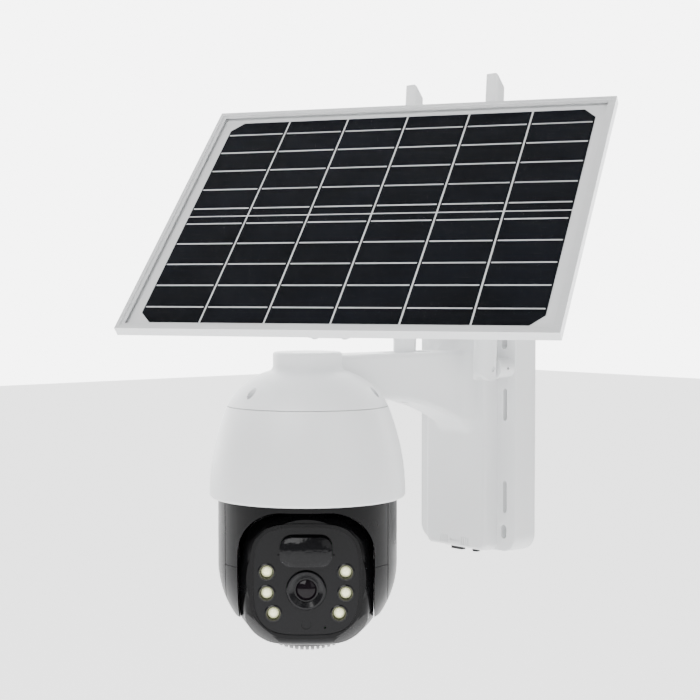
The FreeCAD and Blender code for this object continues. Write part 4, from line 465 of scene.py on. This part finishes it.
@dataclass
class SubAssembly:
    """A group of CAD pieces that are finished together."""

    name: str

    def finishes(self) -> dict[str, tuple[Finish, Slot]]:
        """Finish and slot of every CAD piece of this group.

        Returns:
            Piece name to finish and slot.
        """
        return {}

    def build(self) -> None:
        """Finish the CAD pieces."""
        for node, (finish, slot) in self.finishes().items():
            piece = frame["nodes"][node]
            piece.data.materials.clear()
            piece.data.materials.append(finish.material(f"{node}_{slot.value}"))
            LOG.info("%s: %s finished as %s", self.name, node, slot.value)


def joint(name: str) -> dict:
    """Joint of the record.

    Args:
        name: Name of the joint.

    Returns:
        Its entry.
    """
    return next(entry for entry in frame["joints"] if entry["name"] == name)


def turn_of(name: str) -> float:
    """Angle of a level joint axis about Z.

    Args:
        name: Name of the joint.

    Returns:
        The angle in radians.
    """
    axis = joint(name)["axis"]
    return math.atan2(axis[1], axis[0])


WHITE = (0.8, 0.81, 0.815)
BLACK = (0.0045, 0.0045, 0.005)
BLACK_SHEEN = 0.12
ACETAL = (0.72, 0.7, 0.6)
DARK_STEEL = (0.5, 0.5, 0.52)
AXLE_GREY = (0.3, 0.31, 0.32)


@dataclass
class WallBox(SubAssembly):
    """Box on the wall with the battery and the charging board."""

    shell: Plastic = Plastic(WHITE, roughness=0.4)
    seal: Plastic = Plastic((0.02, 0.02, 0.021), roughness=0.7, grain=900.0, grain_height=0.00006)
    wrap: Plastic = Plastic((0.03, 0.12, 0.35), roughness=0.3, coat=0.4)
    screw: Metal = Metal((0.55, 0.55, 0.57))
    board: Board = Board()

    def finishes(self) -> dict[str, tuple[Finish, Slot]]:
        """See SubAssembly.

        Returns:
            Piece name to finish and slot.
        """
        return {
            "back_shell": (self.shell, Slot.WHITE_PLASTIC),
            "arm_cover": (self.shell, Slot.WHITE_PLASTIC),
            "box_gasket": (self.seal, Slot.RUBBER),
            "port_cap": (self.seal, Slot.RUBBER),
            "power_button": (self.seal, Slot.RUBBER),
            "box_screws": (self.screw, Slot.STEEL),
            "charge_socket": (self.screw, Slot.STEEL),
            "battery_cells": (self.wrap, Slot.CELL_WRAP),
            "charge_board": (self.board, Slot.BOARD),
        }


@dataclass
class Dome(SubAssembly):
    """White dome with the fixed half of the pan drive."""

    shell: Plastic = Plastic(WHITE, roughness=0.36)
    deck: Plastic = Plastic(AXLE_GREY, roughness=0.5)
    acetal: Plastic = Plastic(ACETAL, roughness=0.34)
    steel: Metal = Metal(DARK_STEEL)
    board: Board = Board()

    def finishes(self) -> dict[str, tuple[Finish, Slot]]:
        """See SubAssembly.

        Returns:
            Piece name to finish and slot.
        """
        return {
            "dome_skirt": (self.shell, Slot.WHITE_PLASTIC),
            "dome_deck": (self.deck, Slot.GREY_PLASTIC),
            "dome_screws": (self.steel, Slot.STEEL),
            "pan_motor": (self.steel, Slot.STEEL),
            "pan_pinion": (self.acetal, Slot.GEAR_PLASTIC),
            "main_board": (self.board, Slot.BOARD),
        }


@dataclass
class Yoke(SubAssembly):
    """Black yoke that pans, with the ear covers and the spindle."""

    shell: Plastic = Plastic(BLACK, roughness=0.3, tone=0.15, grain_height=0.00001, coat=0.05,
                            specular=BLACK_SHEEN)
    acetal: Plastic = Plastic(ACETAL, roughness=0.34)
    axle: Plastic = Plastic(AXLE_GREY, roughness=0.5)
    steel: Metal = Metal(DARK_STEEL)

    def finishes(self) -> dict[str, tuple[Finish, Slot]]:
        """See SubAssembly.

        Returns:
            Piece name to finish and slot.
        """
        return {
            "yoke_body": (self.shell, Slot.BLACK_PLASTIC),
            "ear_covers": (self.shell, Slot.BLACK_PLASTIC),
            "pan_gear_spindle": (self.acetal, Slot.GEAR_PLASTIC),
            "tilt_gear": (self.acetal, Slot.GEAR_PLASTIC),
            "tilt_axles": (self.axle, Slot.GREY_PLASTIC),
            "spindle_screws": (self.steel, Slot.STEEL),
            "pan_clip": (self.steel, Slot.STEEL),
        }


@dataclass
class Head(SubAssembly):
    """Ball with the lens, the lamps and the motion sensor."""

    shell: Plastic = Plastic(BLACK, roughness=0.28, tone=0.15, grain_height=0.00001, coat=0.08,
                            specular=BLACK_SHEEN)
    window: Gloss = Gloss((0.004, 0.004, 0.005), roughness=0.05)
    motion_lens: Gloss = Gloss((0.008, 0.008, 0.009), roughness=0.1, ribs=260.0)
    barrel: Plastic = Plastic((0.006, 0.006, 0.007), roughness=0.22, coat=0.1, specular=0.2)
    glass: Gloss = Gloss((0.006, 0.004, 0.006), roughness=0.02, smear=0.02)
    ring: Plastic = Plastic((0.006, 0.006, 0.007), roughness=0.2, coat=0.1, specular=0.2)
    seal: Plastic = Plastic((0.015, 0.015, 0.016), roughness=0.6, grain=900.0, grain_height=0.00005)
    lamp: LampDome = LampDome()
    acetal: Plastic = Plastic(ACETAL, roughness=0.34)
    steel: Metal = Metal(DARK_STEEL)
    board: Board = Board()

    def finishes(self) -> dict[str, tuple[Finish, Slot]]:
        """See SubAssembly.

        Returns:
            Piece name to finish and slot.
        """
        return {
            "head_front_shell": (self.shell, Slot.BLACK_PLASTIC),
            "head_rear_shell": (self.shell, Slot.BLACK_PLASTIC),
            "face_bezel": (self.shell, Slot.BLACK_PLASTIC),
            "speaker_grille": (self.shell, Slot.BLACK_PLASTIC),
            "speaker": (self.seal, Slot.BLACK_PLASTIC),
            "face_window": (self.window, Slot.BLACK_GLOSS),
            "pir_lens": (self.motion_lens, Slot.BLACK_GLOSS),
            "lens_barrel": (self.barrel, Slot.BLACK_PLASTIC),
            "lens_glass": (self.glass, Slot.GLASS),
            "light_rings": (self.ring, Slot.BLACK_PLASTIC),
            "light_domes": (self.lamp, Slot.LAMP),
            "light_board": (self.board, Slot.BOARD),
            "sensor_board": (self.board, Slot.BOARD),
            "light_sensor": (self.window, Slot.BLACK_PLASTIC),
            "card_cover": (self.seal, Slot.RUBBER),
            "tilt_motor": (self.steel, Slot.STEEL),
            "tilt_pinion": (self.acetal, Slot.GEAR_PLASTIC),
        }


@dataclass
class Antennas(SubAssembly):
    """Two folding antennas on their stubs."""

    shell: Plastic = Plastic(WHITE, roughness=0.38)

    def finishes(self) -> dict[str, tuple[Finish, Slot]]:
        """See SubAssembly.

        Returns:
            Piece name to finish and slot.
        """
        nodes = ("antenna_stubs", "antenna_knuckle_right", "antenna_knuckle_left",
                 "antenna_blade_right", "antenna_blade_left")
        return {node: (self.shell, Slot.WHITE_PLASTIC) for node in nodes}


@dataclass
class Neck(SubAssembly):
    """Post and swivelling arm that carry the panel."""

    shell: Plastic = Plastic(WHITE, roughness=0.38)
    knob: Plastic = Plastic((0.015, 0.015, 0.016), roughness=0.45)
    steel: Metal = Metal((0.55, 0.55, 0.57))

    def finishes(self) -> dict[str, tuple[Finish, Slot]]:
        """See SubAssembly.

        Returns:
            Piece name to finish and slot.
        """
        return {
            "neck_post": (self.shell, Slot.WHITE_PLASTIC),
            "neck_cap": (self.shell, Slot.WHITE_PLASTIC),
            "swivel_arm": (self.shell, Slot.WHITE_PLASTIC),
            "neck_nut": (self.steel, Slot.STEEL),
            "tilt_bolt": (self.steel, Slot.STEEL),
            "tilt_knob": (self.knob, Slot.BLACK_PLASTIC),
        }


@dataclass
class Panel(SubAssembly):
    """Framed solar panel with its bracket and junction box."""

    tilt: float = math.radians(43.8)
    rail: Metal = Metal((0.8, 0.81, 0.82), roughness=0.4, metallic=0.35, contrast=0.06)
    sheet: Plastic = Plastic((0.82, 0.83, 0.84), roughness=0.5, grain=1500.0)
    glass: ClearSheet = ClearSheet()
    tinned: Metal = Metal((0.86, 0.87, 0.88), roughness=0.35, metallic=0.6)
    box: Plastic = Plastic((0.014, 0.014, 0.015), roughness=0.5)
    steel: Metal = Metal((0.6, 0.6, 0.62))

    def finishes(self) -> dict[str, tuple[Finish, Slot]]:
        """See SubAssembly.

        Returns:
            Piece name to finish and slot.
        """
        cell = SolarCell(self.tilt, turn_of("panel_tilt"))
        return {
            "long_rails": (self.rail, Slot.FRAME_METAL),
            "short_rails": (self.rail, Slot.FRAME_METAL),
            "panel_bracket": (self.rail, Slot.FRAME_METAL),
            "bar_rivets": (self.steel, Slot.STEEL),
            "back_sheet": (self.sheet, Slot.BACK_SHEET),
            "panel_glass": (self.glass, Slot.GLASS),
            "solar_cells": (cell, Slot.SILICON),
            "cell_wires": (self.tinned, Slot.STEEL),
            "junction_box": (self.box, Slot.BLACK_PLASTIC),
            "cable_gland": (self.box, Slot.RUBBER),
        }


@dataclass(frozen=True)
class SoftLight:
    """Square soft light that faces the object.

    Azimuth is in degrees round from straight in front, towards +X.  Elevation is in degrees above the
    horizon, distance and side are in metres and power is in watts.
    """

    name: str
    azimuth: float
    elevation: float
    power: float
    distance: float = 1.6
    side: float = 1.0


@dataclass
class Studio:
    """Pale floor, soft lights and the camera."""

    eye: Vector = field(default_factory=lambda: Vector((0.7235, -0.7503, 0.0968)))
    azimuth: float = 49.0
    pitch: float = 2.3
    lens: float = 79.7
    key: SoftLight = SoftLight("key", azimuth=20.0, elevation=40.0, power=20.0)
    fill: SoftLight = SoftLight("fill", azimuth=95.0, elevation=20.0, power=4.0)
    room_dim: float = 0.25
    room_bright: float = 6.5
    floor_drop: float = 0.25
    floor_size: float = 12.0
    floor_finish: Plastic = Plastic((0.9, 0.9, 0.9), roughness=0.8, grain=300.0, grain_height=0.00005,
                                    tone=0.01, glow=1.3)

    def floor(self) -> None:
        """Lay the floor below the object."""
        low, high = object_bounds()
        centre = (low + high) / 2
        shape = bmesh.new()
        bmesh.ops.create_grid(shape, x_segments=1, y_segments=1, size=self.floor_size / 2)
        mesh = bpy.data.meshes.new("floor")
        shape.to_mesh(mesh)
        shape.free()
        mesh.materials.append(self.floor_finish.material("floor"))
        floor = bpy.data.objects.new("floor", mesh)
        floor.location = (centre.x, centre.y, low.z - self.floor_drop)
        bpy.context.scene.collection.objects.link(floor)
        floor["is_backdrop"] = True

    def light(self, soft: SoftLight) -> None:
        """Hang a soft light.

        Args:
            soft: Where it hangs, how large it is and how bright.
        """
        low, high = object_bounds()
        centre = (low + high) / 2
        around, up = math.radians(soft.azimuth), math.radians(soft.elevation)
        out = Vector((math.sin(around) * math.cos(up), -math.cos(around) * math.cos(up), math.sin(up)))
        data = bpy.data.lights.new(soft.name, "AREA")
        data.size = soft.side
        data.energy = soft.power
        lamp = bpy.data.objects.new(soft.name, data)
        lamp.location = centre + out * soft.distance
        lamp.rotation_mode = "QUATERNION"
        lamp.rotation_quaternion = out.to_track_quat("Z", "Y")
        bpy.context.scene.collection.objects.link(lamp)

    def build(self) -> None:
        """Set up everything round the object."""
        self.floor()
        world = bpy.data.worlds.new("studio")
        world.use_nodes = True
        tree = world.node_tree
        background = tree.nodes["Background"]
        background.inputs["Color"].default_value = (1.0, 1.0, 1.0, 1.0)
        around = math.radians(self.azimuth)
        facing = tree.nodes.new("ShaderNodeVectorMath")
        facing.operation = "DOT_PRODUCT"
        facing.inputs[1].default_value = (-math.sin(around), math.cos(around), 0.0)
        tree.links.new(tree.nodes.new("ShaderNodeTexCoord").outputs["Generated"], facing.inputs[0])
        spread = tree.nodes.new("ShaderNodeMapRange")
        spread.interpolation_type = "SMOOTHSTEP"
        for name, value in zip(("From Min", "From Max", "To Min", "To Max"),
                               (0.1, 0.85, self.room_dim, self.room_bright)):
            spread.inputs[name].default_value = value
        tree.links.new(facing.outputs["Value"], spread.inputs["Value"])
        tree.links.new(spread.outputs["Result"], background.inputs["Strength"])
        bpy.context.scene.world = world
        self.light(self.key)
        self.light(self.fill)
        data = bpy.data.cameras.new("camera")
        data.lens = self.lens
        data.sensor_width = 36.0
        camera = bpy.data.objects.new("camera", data)
        camera.location = self.eye
        camera.rotation_euler = (math.radians(90.0 - self.pitch), 0.0, math.radians(self.azimuth))
        bpy.context.scene.collection.objects.link(camera)
        bpy.context.scene.camera = camera
        LOG.info("studio: floor, lights and camera ready")


def main() -> None:
    """Build the whole scene."""
    logging.basicConfig(level=logging.INFO, format="%(name)s: %(message)s")
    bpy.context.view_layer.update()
    assemblies: list[SubAssembly] = [
        WallBox("wall box"),
        Dome("dome"),
        Yoke("yoke"),
        Head("head"),
        Antennas("antennas"),
        Neck("neck"),
        Panel("panel"),
    ]
    for assembly in assemblies:
        assembly.build()
    Studio().build()


if __name__ == "__main__":
    main()
